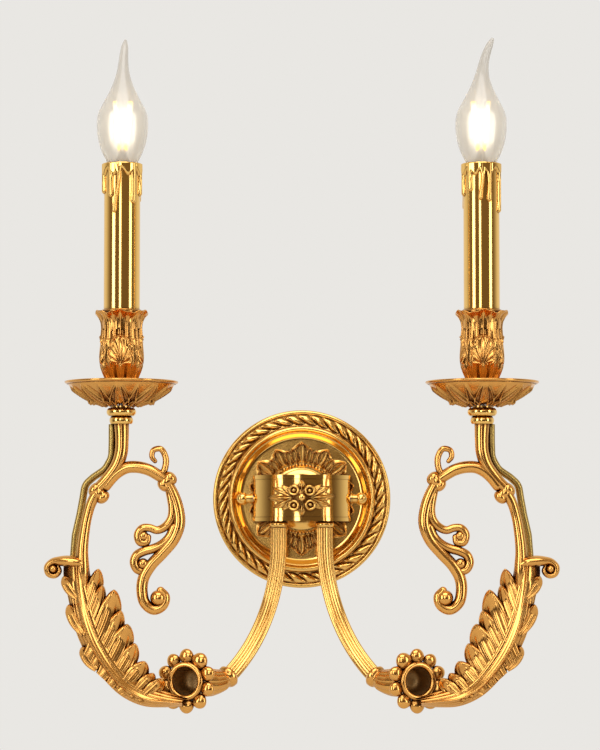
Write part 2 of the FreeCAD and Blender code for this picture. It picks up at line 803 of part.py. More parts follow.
SCROLL_OUTER = ((90.0, 8.0, 3.6), (86.5, 0.8, 3.9), (83.6, -8.0, 4.0), (82.6, -18.0, 4.1),
                (86.0, -28.5, 4.0), (93.8, -38.2, 3.9), (101.8, -46.8, 3.9), (106.4, -55.0, 3.9),
                (107.4, -63.5, 3.8), (105.2, -72.0, 3.7), (99.2, -76.2, 3.5), (93.2, -73.2, 3.2),
                (91.6, -67.4, 2.9), (95.0, -63.4, 2.7))
SCROLL_MIDDLE = ((86.0, -21.0, 3.2), (89.0, -27.5, 3.0), (94.5, -32.6, 2.9), (100.5, -35.4, 2.8),
                 (106.2, -37.0, 2.8), (111.2, -39.9, 2.8), (112.8, -44.6, 2.7), (110.2, -49.6, 2.5),
                 (105.6, -50.2, 2.3), (103.6, -47.2, 2.1))
SCROLL_INNER = ((88.9, 3.5, 3.0), (87.6, -3.0, 3.0), (86.9, -9.5, 3.0), (88.0, -15.5, 3.0),
                (92.0, -20.5, 2.8), (97.5, -22.8, 2.6), (102.5, -21.3, 2.6), (107.2, -21.6, 2.6),
                (110.3, -26.0, 2.4), (108.6, -31.0, 2.3), (104.4, -31.0, 2.1), (103.4, -27.4, 2.0))
BEADS = ((139.3, 4.2, 4.7), (134.4, -1.0, 4.2), (87.3, 11.6, 4.4), (93.6, 7.8, 3.8),
         (96.6, -68.2, 5.4), (106.7, -45.4, 3.8), (106.5, -26.7, 3.3))


def branch_point(outward, height):
    """Point in the left candle's plane, counted from the candle's axis."""
    shift = size("candle_spread") - 121.8
    return Vector(-outward - shift, -size("candle_depth"), height)


def strand(stations):
    points = [branch_point(outward, height) for outward, height, radius in stations]
    radii = [radius for outward, height, radius in stations]
    return round_loft(points, radii, Vector(0, 1, 0))


def branch_shape():
    strands = (STEM_UPPER, STEM_LOWER, ARCH, HOOK, SCROLL_OUTER, SCROLL_MIDDLE, SCROLL_INNER)
    shapes = [strand(stations) for stations in strands]
    shapes += [ball(branch_point(outward, height), radius) for outward, height, radius in BEADS]
    foot = Vector(-size("candle_spread"), -size("candle_depth"), 42)
    shapes.append(Part.makeCylinder(size("stem_top_radius"), size("collar_level") - 42, foot))
    return joined(shapes)


# Leaf arm --------------------------------------------------------------------------------
# A cast acanthus leaf, folded along its midrib with the fold to the room. It springs from the
# flower's lower lip and ends in a small roll under the stem. Stations: (outward, height of the
# midrib, width of the inner wing, width of the outer wing).

LEAF = ((79.0, -137.6, 12, 3), (88.0, -137.2, 16, 4), (101.0, -134.5, 17, 6), (117.8, -125.3, 17.5, 8),
        (129.3, -113.8, 20, 9), (138.7, -99.5, 22.5, 9), (145.3, -82.5, 23.5, 9.5),
        (148.2, -67.3, 19, 10), (150.2, -54.0, 15, 10), (151.2, -45.0, 10, 9))
ROLL = (166.5, -47.0, 6.2)
ROLL_LENGTH = 9
LEAF_CREST = "candle_depth + leaf_crest_rise"


def leaf_shape():
    spots = [branch_point(outward, height) for outward, height, inner, outer in LEAF]
    for spot in spots:
        spot.y = -size(LEAF_CREST)
    spine, lengths = spine_through(spots)
    sheet_thickness = size("leaf_sheet")
    fold = size("leaf_fold")
    sections = []
    for length, (outward, height, inner, outer) in zip(lengths, LEAF):
        along = spine.tangent(length)[0]
        inward = Vector(0, 1, 0).cross(along)
        spot = spine.value(length)
        front = [(inner, fold), (inner * 0.6, fold * 0.35), (0, 0), (-outer * 0.6, fold * 0.3),
                 (-outer, fold * 0.85)]
        corners = [spot + inward * wide + Vector(0, deep, 0) for wide, deep in front]
        corners += [spot + inward * (wide * 0.93) + Vector(0, deep + sheet_thickness, 0)
                    for wide, deep in reversed(front)]
        sections.append(Part.makePolygon(corners + corners[:1]))
    blade = Part.makeLoft(sections, True)
    center = branch_point(ROLL[0], ROLL[1])
    center.y = -size(LEAF_CREST)
    roll = Part.makeCylinder(ROLL[2], ROLL_LENGTH, center, Vector(0, 1, 0))
    bridge_points = [branch_point(151.0, -47.0), branch_point(158.0, -41.5),
                     branch_point(166.0, -42.5)]
    for point in bridge_points:
        point.y = -size(LEAF_CREST) + ROLL_LENGTH / 2
    bridge = round_loft(bridge_points, (4.2, 3.6, 2.6), Vector(0, 1, 0))
    return joined([blade, bridge, roll])


def build_leaf_and_branch(flower):
    branch = branch_shape()
    leaf = leaf_shape().cut(flower).cut(branch)
    solids = sorted(leaf.Solids, key=lambda solid: solid.Volume)
    twin(shaped("leaf_arm_left", solids[-1]))
    twin(shaped("scroll_branch_left", branch))


# Conduit ---------------------------------------------------------------------------------
# A thin brass tube that carries the wires from the flower, behind the leaf and the stem, up to
# the candle's collar. Route: (outward, distance behind the candle's axis, height).

CONDUIT_ROUTE = ((128.1, 3.8, 36.0), (128.4, 4.2, 26.4), (132.8, 5.7, 18.4), (140.9, 7.0, 13.0),
                 (146.6, 8.0, 8.0), (148.0, 8.5, -1.0), (150.0, 9.0, -12.0), (153.2, 10.0, -26.0),
                 (154.6, 12.0, -42.0), (151.0, 13.5, -62.0), (145.6, 13.5, -83.0),
                 (137.5, 13.5, -101.0), (124.0, 13.5, -115.5), (107.0, 13.5, -126.0))


def build_conduits(flower):
    route = [branch_point(CONDUIT_ROUTE[0][0], size("collar_level"))]
    route += [branch_point(outward, height) for outward, depth, height in CONDUIT_ROUTE]
    route[0].y += CONDUIT_ROUTE[0][1]
    for point, station in zip(route[1:], CONDUIT_ROUTE):
        point.y += station[1]
    mouth, facing = flower_frame()
    route.append(mouth - facing * 12 + Vector(-4, 0, -4))
    wire = bent_wire(route, size("conduit_bend"))
    tube = tube_along(wire, size("conduit_radius")).cut(tube_along(wire, size("conduit_bore")))
    tube = tube.cut(flower)
    solids = sorted(tube.Solids, key=lambda solid: solid.Volume)
    twin(shaped("conduit_left", solids[-1]))


# Candle ----------------------------------------------------------------------------------
# From the stem upward: ring collar, drip pan and cup, clamped by a threaded nipple and its nut,
# then the lampholder on its bracket under a loose brass sleeve with a drip ring.

RING_TOP = "collar_level + lower_ring_height + upper_ring_height"
PAN_LEVEL = RING_TOP + " + pan_seat_height"
CUP_LEVEL = PAN_LEVEL + " + 1.4 + pan_sheet"
CUP_FLOOR = CUP_LEVEL + " + cup_floor_height"
CUP_SEAT = CUP_LEVEL + " + cup_seat_height"
CUP_TOP = CUP_LEVEL + " + cup_height"
NUT_LEVEL = CUP_FLOOR + " + bracket_sheet"
SLEEVE_LEVEL = CUP_SEAT + " + running_gap"
SLEEVE_TOP = SLEEVE_LEVEL + " + sleeve_length"
HOLDER_TOP = "bulb_base_level - 0.8 - running_gap"
HOLDER_LEVEL = HOLDER_TOP + " - holder_height"


def build_neck_collars():
    bore = "nipple_radius + fit_gap"
    lower_top = "collar_level + lower_ring_height"
    twin(upright("neck_collar_left", [
        ("0", "collar_level"),
        ("lower_ring_radius - 0.8", "collar_level"),
        ("lower_ring_radius", "collar_level + lower_ring_height / 2", "lower_ring_radius - 1.6",
         lower_top),
        ("upper_ring_radius - 1.6", lower_top),
        ("upper_ring_radius", lower_top + " + upper_ring_height / 2", "upper_ring_radius - 1.6",
         RING_TOP),
        ("pan_seat_radius", RING_TOP),
        ("pan_seat_radius", PAN_LEVEL),
        (bore, PAN_LEVEL),
        (bore, PAN_LEVEL + " - nipple_sink - fit_gap"),
        ("0", PAN_LEVEL + " - nipple_sink - fit_gap"),
    ]))


def build_drip_pans():
    bore = "nipple_radius + fit_gap"
    rim = PAN_LEVEL + " + pan_depth"
    twin(upright("drip_pan_left", [
        (bore, PAN_LEVEL),
        ("pan_seat_radius", PAN_LEVEL),
        ("cup_foot_radius - 0.7", PAN_LEVEL + " + 1.4"),
        ("pan_radius * 0.6", PAN_LEVEL + " + pan_depth * 0.25",
         "pan_radius - 1", rim + " - pan_lip"),
        ("pan_radius", rim + " - pan_lip / 2", "pan_radius - 0.6", rim),
        ("pan_radius - 2.4", rim),
        ("pan_radius * 0.6", PAN_LEVEL + " + pan_depth * 0.25 + pan_sheet * 1.2",
         "cup_foot_radius + 1", PAN_LEVEL + " + 1.4 + pan_sheet"),
        (bore, PAN_LEVEL + " + 1.4 + pan_sheet"),
    ]))


def build_candle_cups():
    bore = "nipple_radius + fit_gap"
    inner = "sleeve_radius + running_gap"
    waist = CUP_LEVEL + " + cup_height * 0.82"
    twin(upright("candle_cup_left", [
        (bore, CUP_LEVEL),
        ("cup_foot_radius", CUP_LEVEL),
        ("cup_foot_radius", CUP_LEVEL + " + 2"),
        ("cup_neck_radius", CUP_LEVEL + " + 6", "cup_neck_radius", CUP_LEVEL + " + 11.5"),
        ("cup_belly_radius - 1.6", CUP_LEVEL + " + 21", "cup_belly_radius", CUP_LEVEL + " + 30"),
        ("cup_belly_radius - 0.5", CUP_LEVEL + " + 41", "cup_waist_radius", waist),
        ("cup_waist_radius + 1.4", waist + " + 5", "cup_rim_radius", CUP_TOP + " - 2.2"),
        ("cup_rim_radius", CUP_TOP),
        ("cup_rim_radius - cup_wall", CUP_TOP),
        (inner + " + 1.6", waist + " + 6.6", inner, waist + " - 1"),
        (inner, CUP_SEAT),
        ("cup_floor_radius", CUP_SEAT),
        ("cup_floor_radius", CUP_FLOOR),
        (bore, CUP_FLOOR),
    ]))


def build_nipples():
    twin(upright("threaded_nipple_left", [
        ("nipple_bore", PAN_LEVEL + " - nipple_sink"),
        ("nipple_radius", PAN_LEVEL + " - nipple_sink"),
        ("nipple_radius", CUP_FLOOR + " + nipple_rise"),
        ("nipple_bore", CUP_FLOOR + " + nipple_rise"),
    ]))
    nut = new_body("nipple_nut_left", "-candle_spread", "-candle_depth", NUT_LEVEL + " + nut_height / 2")
    flat = "nut_flats / 2"
    edge = "nut_flats * 0.28868"
    corners = [(flat, edge), ("0", "nut_flats * 0.57735"), ("-" + flat, edge), ("-" + flat, "-" + edge),
               ("0", "-nut_flats * 0.57735"), (flat, "-" + edge)]
    add_pad(nut, outline_sketch(nut, "XY_Plane", corners), "nut_height")
    hole = circle_sketch(nut, "XY_Plane", [("0", "0", "nipple_radius + fit_gap")])
    add_pocket(nut, hole)
    twin(nut)


def build_lampholders():
    """Steel bracket from the nipple up to the socket, and the socket with its two contacts."""
    body = new_body("holder_bracket_left", "-candle_spread", "-candle_depth")
    near = "-bracket_offset + bracket_sheet / 2"
    far = "-bracket_offset - bracket_sheet / 2"
    tab = HOLDER_LEVEL + " - bracket_sheet"
    add_pad(body, outline_sketch(body, "XZ_Plane", [
        (far, CUP_FLOOR), (near, CUP_FLOOR), (near, tab), ("bracket_foot_radius - 3", tab),
        ("bracket_foot_radius - 3", HOLDER_LEVEL), (far, HOLDER_LEVEL),
    ]), "bracket_width")
    foot = circle_sketch(body, "XY_Plane", [("0", "0", "bracket_foot_radius")])
    hole = circle_sketch(body, "XY_Plane", [("0", "0", "nipple_radius + fit_gap")])
    for sketch in (foot, hole):
        sketch.setExpression(".AttachmentOffset.Base.z", bound(CUP_FLOOR + " + bracket_sheet / 2"))
    add_pad(body, foot, "bracket_sheet")
    add_pocket(body, hole, "bracket_sheet * 2")
    twin(body)
    cavity = "socket_radius + socket_wall + fit_gap"
    shell_level = HOLDER_TOP + " - socket_depth"
    twin(upright("lampholder_left", [
        ("0", HOLDER_LEVEL), ("holder_radius", HOLDER_LEVEL), ("holder_radius", HOLDER_TOP),
        (cavity, HOLDER_TOP), (cavity, HOLDER_LEVEL + " + holder_floor"),
        ("0", HOLDER_LEVEL + " + holder_floor"),
    ]))
    twin(upright("holder_shell_left", [
        ("socket_radius", shell_level), ("socket_radius + socket_wall", shell_level),
        ("socket_radius + socket_wall", HOLDER_TOP + " - 1"), ("socket_radius", HOLDER_TOP + " - 1"),
    ]))
    twin(upright("holder_contact_left", [
        ("0", HOLDER_LEVEL + " + holder_floor"),
        ("3.4", HOLDER_LEVEL + " + holder_floor"),
        ("3.4", HOLDER_LEVEL + " + holder_floor + 1"),
        ("contact_radius", HOLDER_LEVEL + " + holder_floor + 1"),
        ("contact_radius", CONTACT_LEVEL + " - running_gap"),
        ("0", CONTACT_LEVEL + " - running_gap"),
    ]))


CAP_LEVEL = "bulb_base_level - bulb_cap_length"
CONTACT_LEVEL = CAP_LEVEL + " - insulator_height - 1"


def build_sleeves():
    twin(upright("candle_sleeve_left", [
        ("sleeve_radius - sleeve_wall", SLEEVE_LEVEL), ("sleeve_radius", SLEEVE_LEVEL),
        ("sleeve_radius", SLEEVE_TOP), ("sleeve_radius - sleeve_wall", SLEEVE_TOP),
    ]))


# Drips of the ring, clockwise seen from above: (angle from the front, length below the ring's top).

DRIPS = ((-75, 22.6), (-40, 28.0), (14, 34.5), (33, 24.0), (74, 21.0), (118, 30.0), (160, 23.5),
         (200, 32.0), (240, 26.0))


def drip_run(radius, length):
    """One upright run with a round lower end, standing on the origin."""
    neck = radius * 0.8
    swell = 5
    end = Part.Arc(Vector(), Vector(radius * 0.71, 0, radius * 0.29), Vector(radius, 0, radius))
    corners = [Vector(radius, 0, radius), Vector(neck, 0, radius + swell), Vector(neck, 0, length),
               Vector(0, 0, length), Vector()]
    outline = Part.Wire([end.toShape()] + Part.makePolygon(corners).Edges)
    return Part.Face(outline).revolve(Vector(), Vector(0, 0, 1), 360)


def build_drip_caps():
    axis = Vector(-size("candle_spread"), -size("candle_depth"), 0)
    top = size(SLEEVE_TOP) + size("cap_ring_top")
    skirt = size("sleeve_radius + fit_gap")
    outer = size("cap_ring_radius")
    height = size("cap_ring_height")
    round_edge = 1.2
    ring = Part.makeCylinder(outer, height, axis + Vector(0, 0, top - height))
    ring = ring.makeFillet(round_edge, [edge for edge in ring.Edges
                                        if edge.BoundBox.ZMin > top - 0.01])
    parts = [ring]
    radius = size("drip_radius")
    for angle, length in DRIPS:
        turn = math.radians(angle)
        way = Vector(math.sin(turn), -math.cos(turn), 0)
        drop = drip_run(radius, length - 3)
        drop.rotate(Vector(), Vector(0, 0, 1), angle)
        drop.translate(axis + way * (outer - radius + 0.15) + Vector(0, 0, top - length))
        parts.append(drop)
    inside = Part.makeCylinder(skirt, 60, axis + Vector(0, 0, size(SLEEVE_TOP) - 60))
    hole = Part.makeCylinder(size("cap_ring_hole"), 10, axis + Vector(0, 0, top - 5))
    twin(shaped("drip_cap_left", joined(parts).cut(inside).cut(hole)))


# Bulbs -----------------------------------------------------------------------------------
# Both bulbs are alike. Each is a screw-in body whose tip bends to one side, and the side depends
# on how far it is screwed in: away from the room on the left, to the right on the right.

BULB_AXES = ((LEFT, -1, 90), (RIGHT, 1, 0))


def bulb_outline(wall):
    """Glass stations (height above the neck, radius, sideways drift), thinned by a wall."""
    length = size("bulb_length")
    neck = size("bulb_neck_radius")
    belly = size("bulb_belly_radius")
    bend = size("bulb_tip_bend")
    shape = ((0, neck, 0), (0.056, neck + 2.3, 0), (0.152, belly * 0.81, 0), (0.25, belly * 0.955, 0),
             (0.345, belly, 0), (0.43, belly * 0.955, 0), (0.53, belly * 0.7, 0.02),
             (0.62, belly * 0.44, 0.06), (0.72, belly * 0.25, 0.13), (0.81, belly * 0.175, 0.26),
             (0.89, belly * 0.145, 0.48), (0.955, belly * 0.1, 0.76), (0.992, belly * 0.04, 0.96))
    return [(length * part, radius - wall, bend * drift) for part, radius, drift in shape
            if radius - wall > 0.3]


def glass_loft(wall, lift):
    points = []
    radii = []
    for height, radius, drift in bulb_outline(wall):
        points.append(Vector(drift, 0, height + lift))
        radii.append(radius)
    spine, lengths = spine_through(points)
    rings = []
    for index, (length, radius) in enumerate(zip(lengths, radii)):
        way = spine.tangent(length)[0] if index else Vector(0, 0, 1)
        rings.append(ring_at(points[index], way, radius, Vector(0, 1, 0)))
    return Part.makeLoft(rings, True)


def build_bulbs():
    base = size("bulb_base_level")
    glass = glass_loft(0, 0).cut(glass_loft(size("glass_wall"), 0))
    glass = max(glass.Solids, key=lambda solid: solid.BoundBox.DiagonalLength)
    length = size("filament_length")
    rods = []
    for index in range(4):
        turn = math.radians(45 + 90 * index)
        way = Vector(math.cos(turn), math.sin(turn), 0)
        foot = way * size("filament_circle") + Vector(0, 0, FILAMENT_FOOT)
        lean = math.radians(size("filament_lean"))
        slope = way * math.sin(lean) + Vector(0, 0, math.cos(lean))
        rods.append(Part.makeCylinder(size("filament_radius"), length, foot, slope))
    for side, sign, turn in BULB_AXES:
        place = FreeCAD.Placement(Vector(sign * size("candle_spread"), -size("candle_depth"), base),
                                  FreeCAD.Rotation(Vector(0, 0, 1), turn))
        for label, shape in (("bulb_glass_", glass), ("bulb_filaments_", Part.makeCompound(rods))):
            piece = shaped(label + side, shape)
            piece.Placement = place
        build_bulb_base(side, "-candle_spread" if sign < 0 else "candle_spread")


FILAMENT_FOOT = 16.5


def build_bulb_base(side, x):
    """Glass stem, screw cap, and the contact with its insulator."""
    stem_top = "bulb_base_level + %s + filament_length * 0.4" % FILAMENT_FOOT
    post = "filament_circle - filament_radius - 0.1"
    upright("bulb_stem_" + side, [
        ("0", "bulb_base_level"), ("bulb_neck_radius - glass_wall - 0.1", "bulb_base_level"),
        ("bulb_neck_radius - glass_wall - 0.1", "bulb_base_level + 1"),
        ("4", "bulb_base_level + 3"), ("3.4", "bulb_base_level + 10"),
        (post, "bulb_base_level + %s - 1.5" % FILAMENT_FOOT), (post, stem_top), ("0", stem_top),
    ], x=x)
    grooves = []
    radius = "bulb_cap_radius"
    level = "bulb_base_level - 1.5"
    step = "thread_pitch / 2"
    for index in range(5):
        top = "%s - thread_pitch * %d" % (level, index)
        grooves.append((radius, top))
        grooves.append((radius + " - 0.5", "%s - %s * 0.5" % (top, step),
                        radius, "%s - %s" % (top, step)))
    inner = radius + " - 0.5 - bulb_cap_wall"
    upright("bulb_cap_" + side, [
        (inner, "bulb_base_level"), ("bulb_neck_radius", "bulb_base_level"),
        ("bulb_neck_radius", "bulb_base_level - 0.8"),
    ] + grooves + [(inner + " + bulb_cap_wall", CAP_LEVEL), (inner, CAP_LEVEL)], x=x)
    upright("bulb_contact_" + side, [
        ("0", CAP_LEVEL + " + 1"), (inner + " - fit_gap", CAP_LEVEL + " + 1"),
        (inner + " - fit_gap", CAP_LEVEL),
        (radius + " - 1", CAP_LEVEL), ("contact_radius + 0.8", CAP_LEVEL + " - insulator_height"),
        ("contact_radius", CAP_LEVEL + " - insulator_height"),
        ("contact_radius * 0.7", CONTACT_LEVEL + " + 0.25", "0", CONTACT_LEVEL),
    ], x=x)


def build():
    build_wall_plate()
    build_mounting_strap()
    build_mounting_yoke()
    build_earth_screw()
    build_terminal_block()
    build_body_housing()
    build_body_ornament()
    build_ornament_screw()
    build_side_screws()
    build_arm_tubes()
    build_arm_collars()
    flower = build_flower_cups()
    build_leaf_and_branch(flower)
    build_conduits(flower)
    build_neck_collars()
    build_drip_pans()
    build_candle_cups()
    build_nipples()
    build_lampholders()
    build_sleeves()
    build_drip_caps()
    build_bulbs()


build()
doc.recompute()

for item in doc.Objects:
    if "Invalid" in item.State or "Error" in item.State:
        raise ValueError("%s (%s) failed: %s" % (item.Label, item.Name, item.State))
for node in nodes:
    if node.Shape.isNull() or not node.Shape.isValid() or not node.Shape.Solids:
        raise ValueError(node.Label + " has no valid solid")

os.makedirs("parts", exist_ok=True)
for node in nodes:
    node.Shape.exportStep("parts/%s.step" % node.Label)
    box = node.Shape.BoundBox
    print("%-24s %d solid(s) %9.1f mm3  x %.1f..%.1f y %.1f..%.1f z %.1f..%.1f" % (
        node.Label, len(node.Shape.Solids), node.Shape.Volume,
        box.XMin, box.XMax, box.YMin, box.YMax, box.ZMin, box.ZMax))
print(len(nodes), "nodes")
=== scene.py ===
"""Double arm wall light in polished and gilded brass. Lengths are in millimetres until a mesh is
made. X runs along the wall, Y into the wall and Z up. Each left-hand piece is also made mirrored."""

import math

import bpy
import numpy as np
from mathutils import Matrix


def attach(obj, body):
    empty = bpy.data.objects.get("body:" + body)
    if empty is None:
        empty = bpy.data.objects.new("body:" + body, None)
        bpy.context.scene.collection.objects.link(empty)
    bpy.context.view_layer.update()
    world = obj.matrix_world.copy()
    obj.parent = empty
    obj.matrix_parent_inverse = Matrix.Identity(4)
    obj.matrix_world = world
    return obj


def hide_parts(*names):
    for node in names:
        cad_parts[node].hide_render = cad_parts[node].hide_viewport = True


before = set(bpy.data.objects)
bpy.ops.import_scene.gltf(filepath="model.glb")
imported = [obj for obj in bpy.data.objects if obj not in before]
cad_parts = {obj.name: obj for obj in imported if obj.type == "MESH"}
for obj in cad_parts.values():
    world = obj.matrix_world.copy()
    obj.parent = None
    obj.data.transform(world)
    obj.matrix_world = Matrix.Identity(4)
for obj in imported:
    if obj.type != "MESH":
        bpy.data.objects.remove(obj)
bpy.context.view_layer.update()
pi = math.pi


# Wall plate ------------------------------------------------------------------------------------
# Round plate pressed from brass sheet: a plain outer rim, a twisted rope, a bright raised ring, a
# smooth cove and a sunburst of petals round a bead ring. Polished, gilded and lacquered, so the
# crests are pale and bright; the hollows are darker and redder, which is painted shade.

def linear(code):
    """Linear colour with alpha from an sRGB hex value."""
    parts = [int(code[i:i + 2], 16) / 255 for i in (0, 2, 4)]
    return [p / 12.92 if p <= 0.04045 else ((p + 0.055) / 1.055) ** 2.4 for p in parts] + [1.0]


def add(tree, kind, sockets=None, **settings):
    """Adds a node. sockets maps input names or numbers to values or to outputs to link."""
    node = tree.nodes.new("ShaderNode" + kind)
    for name, value in settings.items():
        setattr(node, name, value)
    for name, value in (sockets or {}).items():
        if isinstance(value, bpy.types.NodeSocket):
            tree.links.new(value, node.inputs[name])
        else:
            node.inputs[name].default_value = value
    return node


def new_material(name):
    material = bpy.data.materials.new(name)
    material.use_nodes = True
    tree = material.node_tree
    tree.nodes.clear()
    return material, tree


def gilt_brass(name, crest, shaded_colour, gloss, dull, shade_reach, grain):
    """Gilded brass under lacquer. crest is its colour in the open, and the second colour is painted
    shade that darkens hollows and spots close to other parts; gloss and dull are its roughness there.
    The reach of the shade is how near (mm) a wall must be for painted shade to darken a spot, and
    grain is the depth (mm) of the waves in its skin."""
    material, tree = new_material(name)
    place = add(tree, "TexCoord").outputs["Object"]
    # lacquer pools: slow changes of tone some 25 mm across
    pools = add(tree, "TexNoise", {"Vector": place, "Scale": 40.0, "Detail": 3.0})
    # slow waves left by hand polishing, 4 to 8 mm apart
    skin = add(tree, "TexNoise", {"Vector": place, "Scale": 150.0, "Detail": 1.0, "Roughness": 0.4})
    # painted shade: ambient occlusion finds hollows and spots close to other parts, where the colour
    # turns to the darker second colour
    painted_shade_ao = add(tree, "AmbientOcclusion", {"Distance": shade_reach / 1000}, samples=6)
    unshaded_part = add(tree, "MapRange", {"Value": painted_shade_ao.outputs["AO"], "From Min": 0.46,
                                       "From Max": 0.98}, interpolation_type="SMOOTHSTEP")
    toned = add(tree, "Math", {0: pools.outputs["Fac"], 1: 0.24, 2: 0.88}, operation="MULTIPLY_ADD")
    # painted shade times the lacquer's random tone picks between the two colours and the two
    # roughnesses
    shade_and_tone = add(tree, "Math", {0: unshaded_part.outputs[0], 1: toned.outputs[0]}, operation="MULTIPLY")
    colour = add(tree, "Mix", {0: shade_and_tone.outputs[0], 6: linear(shaded_colour), 7: linear(crest)},
                 data_type="RGBA")
    rough = add(tree, "MapRange", {"Value": shade_and_tone.outputs[0], "To Min": dull, "To Max": gloss})
    speckle = add(tree, "Math", {0: skin.outputs["Fac"], 1: 0.06, 2: rough.outputs[0]},
                  operation="MULTIPLY_ADD")
    bump = add(tree, "Bump", {"Height": skin.outputs["Fac"], "Strength": 0.5,
                              "Distance": grain / 1000})
    shader = add(tree, "BsdfPrincipled", {
        "Base Color": colour.outputs[2], "Metallic": 1.0, "Roughness": speckle.outputs[0],
        "Normal": bump.outputs[0]})
    add(tree, "OutputMaterial", {"Surface": shader.outputs[0]})
    return material


# the second colour of each is painted shade, for hollows and spots close to other parts
polished_brass = gilt_brass("polished_lacquered_brass", "FACB74", "6B310A", 0.06, 0.24, 2.5, 0.003)
pressed_brass = gilt_brass("pressed_gilded_brass", "F8C770", "5C2808", 0.11, 0.28, 3.2, 0.006)
cast_brass = gilt_brass("cast_gilded_brass", "EBAF5E", "4A1C05", 0.15, 0.34, 8.0, 0.025)


def net(rows, columns):
    return np.meshgrid(rows, columns, indexing="ij")


def circle(count):
    """Angles of a full turn, in radians."""
    return np.linspace(0, 2 * pi, count, endpoint=False)


def faces_of(rows, columns, wrap, start):
    """Four-sided faces of a grid of points, as rows of four indices."""
    row, column = net(np.arange(rows - 1), np.arange(columns if wrap else columns - 1))
    following = (column + 1) % columns
    corners = [row * columns + column, row * columns + following,
               (row + 1) * columns + following, (row + 1) * columns + column]
    return np.stack(corners, -1).reshape(-1, 4) + start


def make_piece(name, grids, material, body, replaced=(), sign=1, keep_face=None):
    """One smooth mesh from (points, wrap) grids in mm. sign -1 makes its mirror image."""
    points, faces, start = [], [], 0
    for grid, wrap in grids:
        rows, columns = grid.shape[:2]
        faces.append(faces_of(rows, columns, wrap, start))
        points.append(grid.reshape(-1, 3))
        start += rows * columns
    points = np.concatenate(points)
    faces = np.concatenate(faces)
    if keep_face is not None:
        faces = faces[keep_face(points[faces].mean(1))]
    points = points * (sign, 1, 1) / 1000
    if sign < 0:
        faces = faces[:, ::-1]
    mesh = bpy.data.meshes.new(name)
    mesh.vertices.add(len(points))
    mesh.vertices.foreach_set("co", points.ravel())
    mesh.loops.add(faces.size)
    mesh.loops.foreach_set("vertex_index", faces.ravel())
    mesh.polygons.add(len(faces))
    mesh.polygons.foreach_set("loop_start", np.arange(0, faces.size, 4))
    mesh.polygons.foreach_set("use_smooth", np.ones(len(faces), bool))
    mesh.update(calc_edges=True)
    mesh.materials.append(material)
    piece = bpy.data.objects.new(name, mesh)
    bpy.context.collection.objects.link(piece)
    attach(piece, body)
    if replaced:
        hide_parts(*replaced)


def make_pair(name, grids, material, body, replaced=(), keep_face=None):
    """The left piece and its mirror image. body and replaced take the side in place of *."""
    for side, sign in (("left", 1), ("right", -1)):
        make_piece(name + "_" + side, grids, material, body.replace("*", side),
                   [node.replace("*", side) for node in replaced], sign, keep_face)


SHARP_EDGE = 32


def finish_node(material, *nodes):
    """Gives carried-over CAD pieces their material, and smooth shading between sharp edges."""
    for node in nodes:
        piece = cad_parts[node]
        piece.data.materials.clear()
        piece.data.materials.append(material)
        piece.data.shade_smooth()
        mod = piece.modifiers.new("soft_edges", "EDGE_SPLIT")
        mod.split_angle = math.radians(SHARP_EDGE)


def both(*names):
    return [name + side for name in names for side in ("_left", "_right")]


def ease(x):
    x = np.clip(x, 0, 1)
    return x * x * (3 - 2 * x)


PLATE_RADIUS = 62.5
ROPE_INNER, ROPE_OUTER, ROPE_STRANDS = 51.6, 59.2, 40
FIELD_RADIUS = 40.8
# petals of one quarter of the sunburst: clock angle, half width, tip radius
PETALS = ((0, 4.0, 40.2), (10, 1.9, 36.2), (17.5, 1.9, 35.4), (28, 3.7, 39.4), (39, 1.9, 35.4),
          (50.5, 3.9, 40.4), (63, 2.0, 35.0), (76, 3.4, 38.0), (90, 3.4, 38.6))
PETAL_ROOT, BEAD_RING, BEAD_COUNT = 25.6, 24.0, 64


def sunburst(radius, angle):
    """Height of the petals over the field, at a radius and a clock angle in degrees."""
    quarter = 90 - np.abs((angle % 180) - 90)
    height = np.zeros_like(radius)
    cover = np.zeros_like(radius)
    for middle, half, tip in PETALS:
        along = (radius - PETAL_ROOT) / (tip - PETAL_ROOT)
        inside = np.clip(along, 0, 1)
        width = half * (0.45 + 0.75 * np.sin(pi * inside ** 1.25) ** 0.8) * (1 - inside ** 6)
        offset = np.abs(np.radians(quarter - middle)) * radius
        edge = 1 - offset / np.maximum(width, 0.05)
        on = (along > 0) & (along < 1) & (edge > -0.6)
        ridge = np.exp(-((edge - 0.12) * width / 0.42) ** 2)
        rib = np.exp(-((offset - width * 0.36) / 0.36) ** 2) * (half > 2)
        fade = ease(along * 8) * ease((1 - along) * 9)
        height = np.where(on, np.maximum(height, (1.7 * ridge + 0.9 * rib) * fade), height)
        cover = np.where((along > -0.2) & (along < 1), np.maximum(cover, ease(edge * 2 + 1.2)), cover)
    beads = np.abs(((angle * BEAD_COUNT / 360) % 1) - 0.5) * 2 * pi * BEAD_RING / BEAD_COUNT
    bead = np.sqrt(np.clip(1 - (beads / 1.15) ** 2 - ((radius - BEAD_RING) / 0.95) ** 2, 0, 1))
    boss = 2.2 * (1 - ease((radius - 16) / 6))
    return height + 0.5 * cover + 1.1 * bead + boss


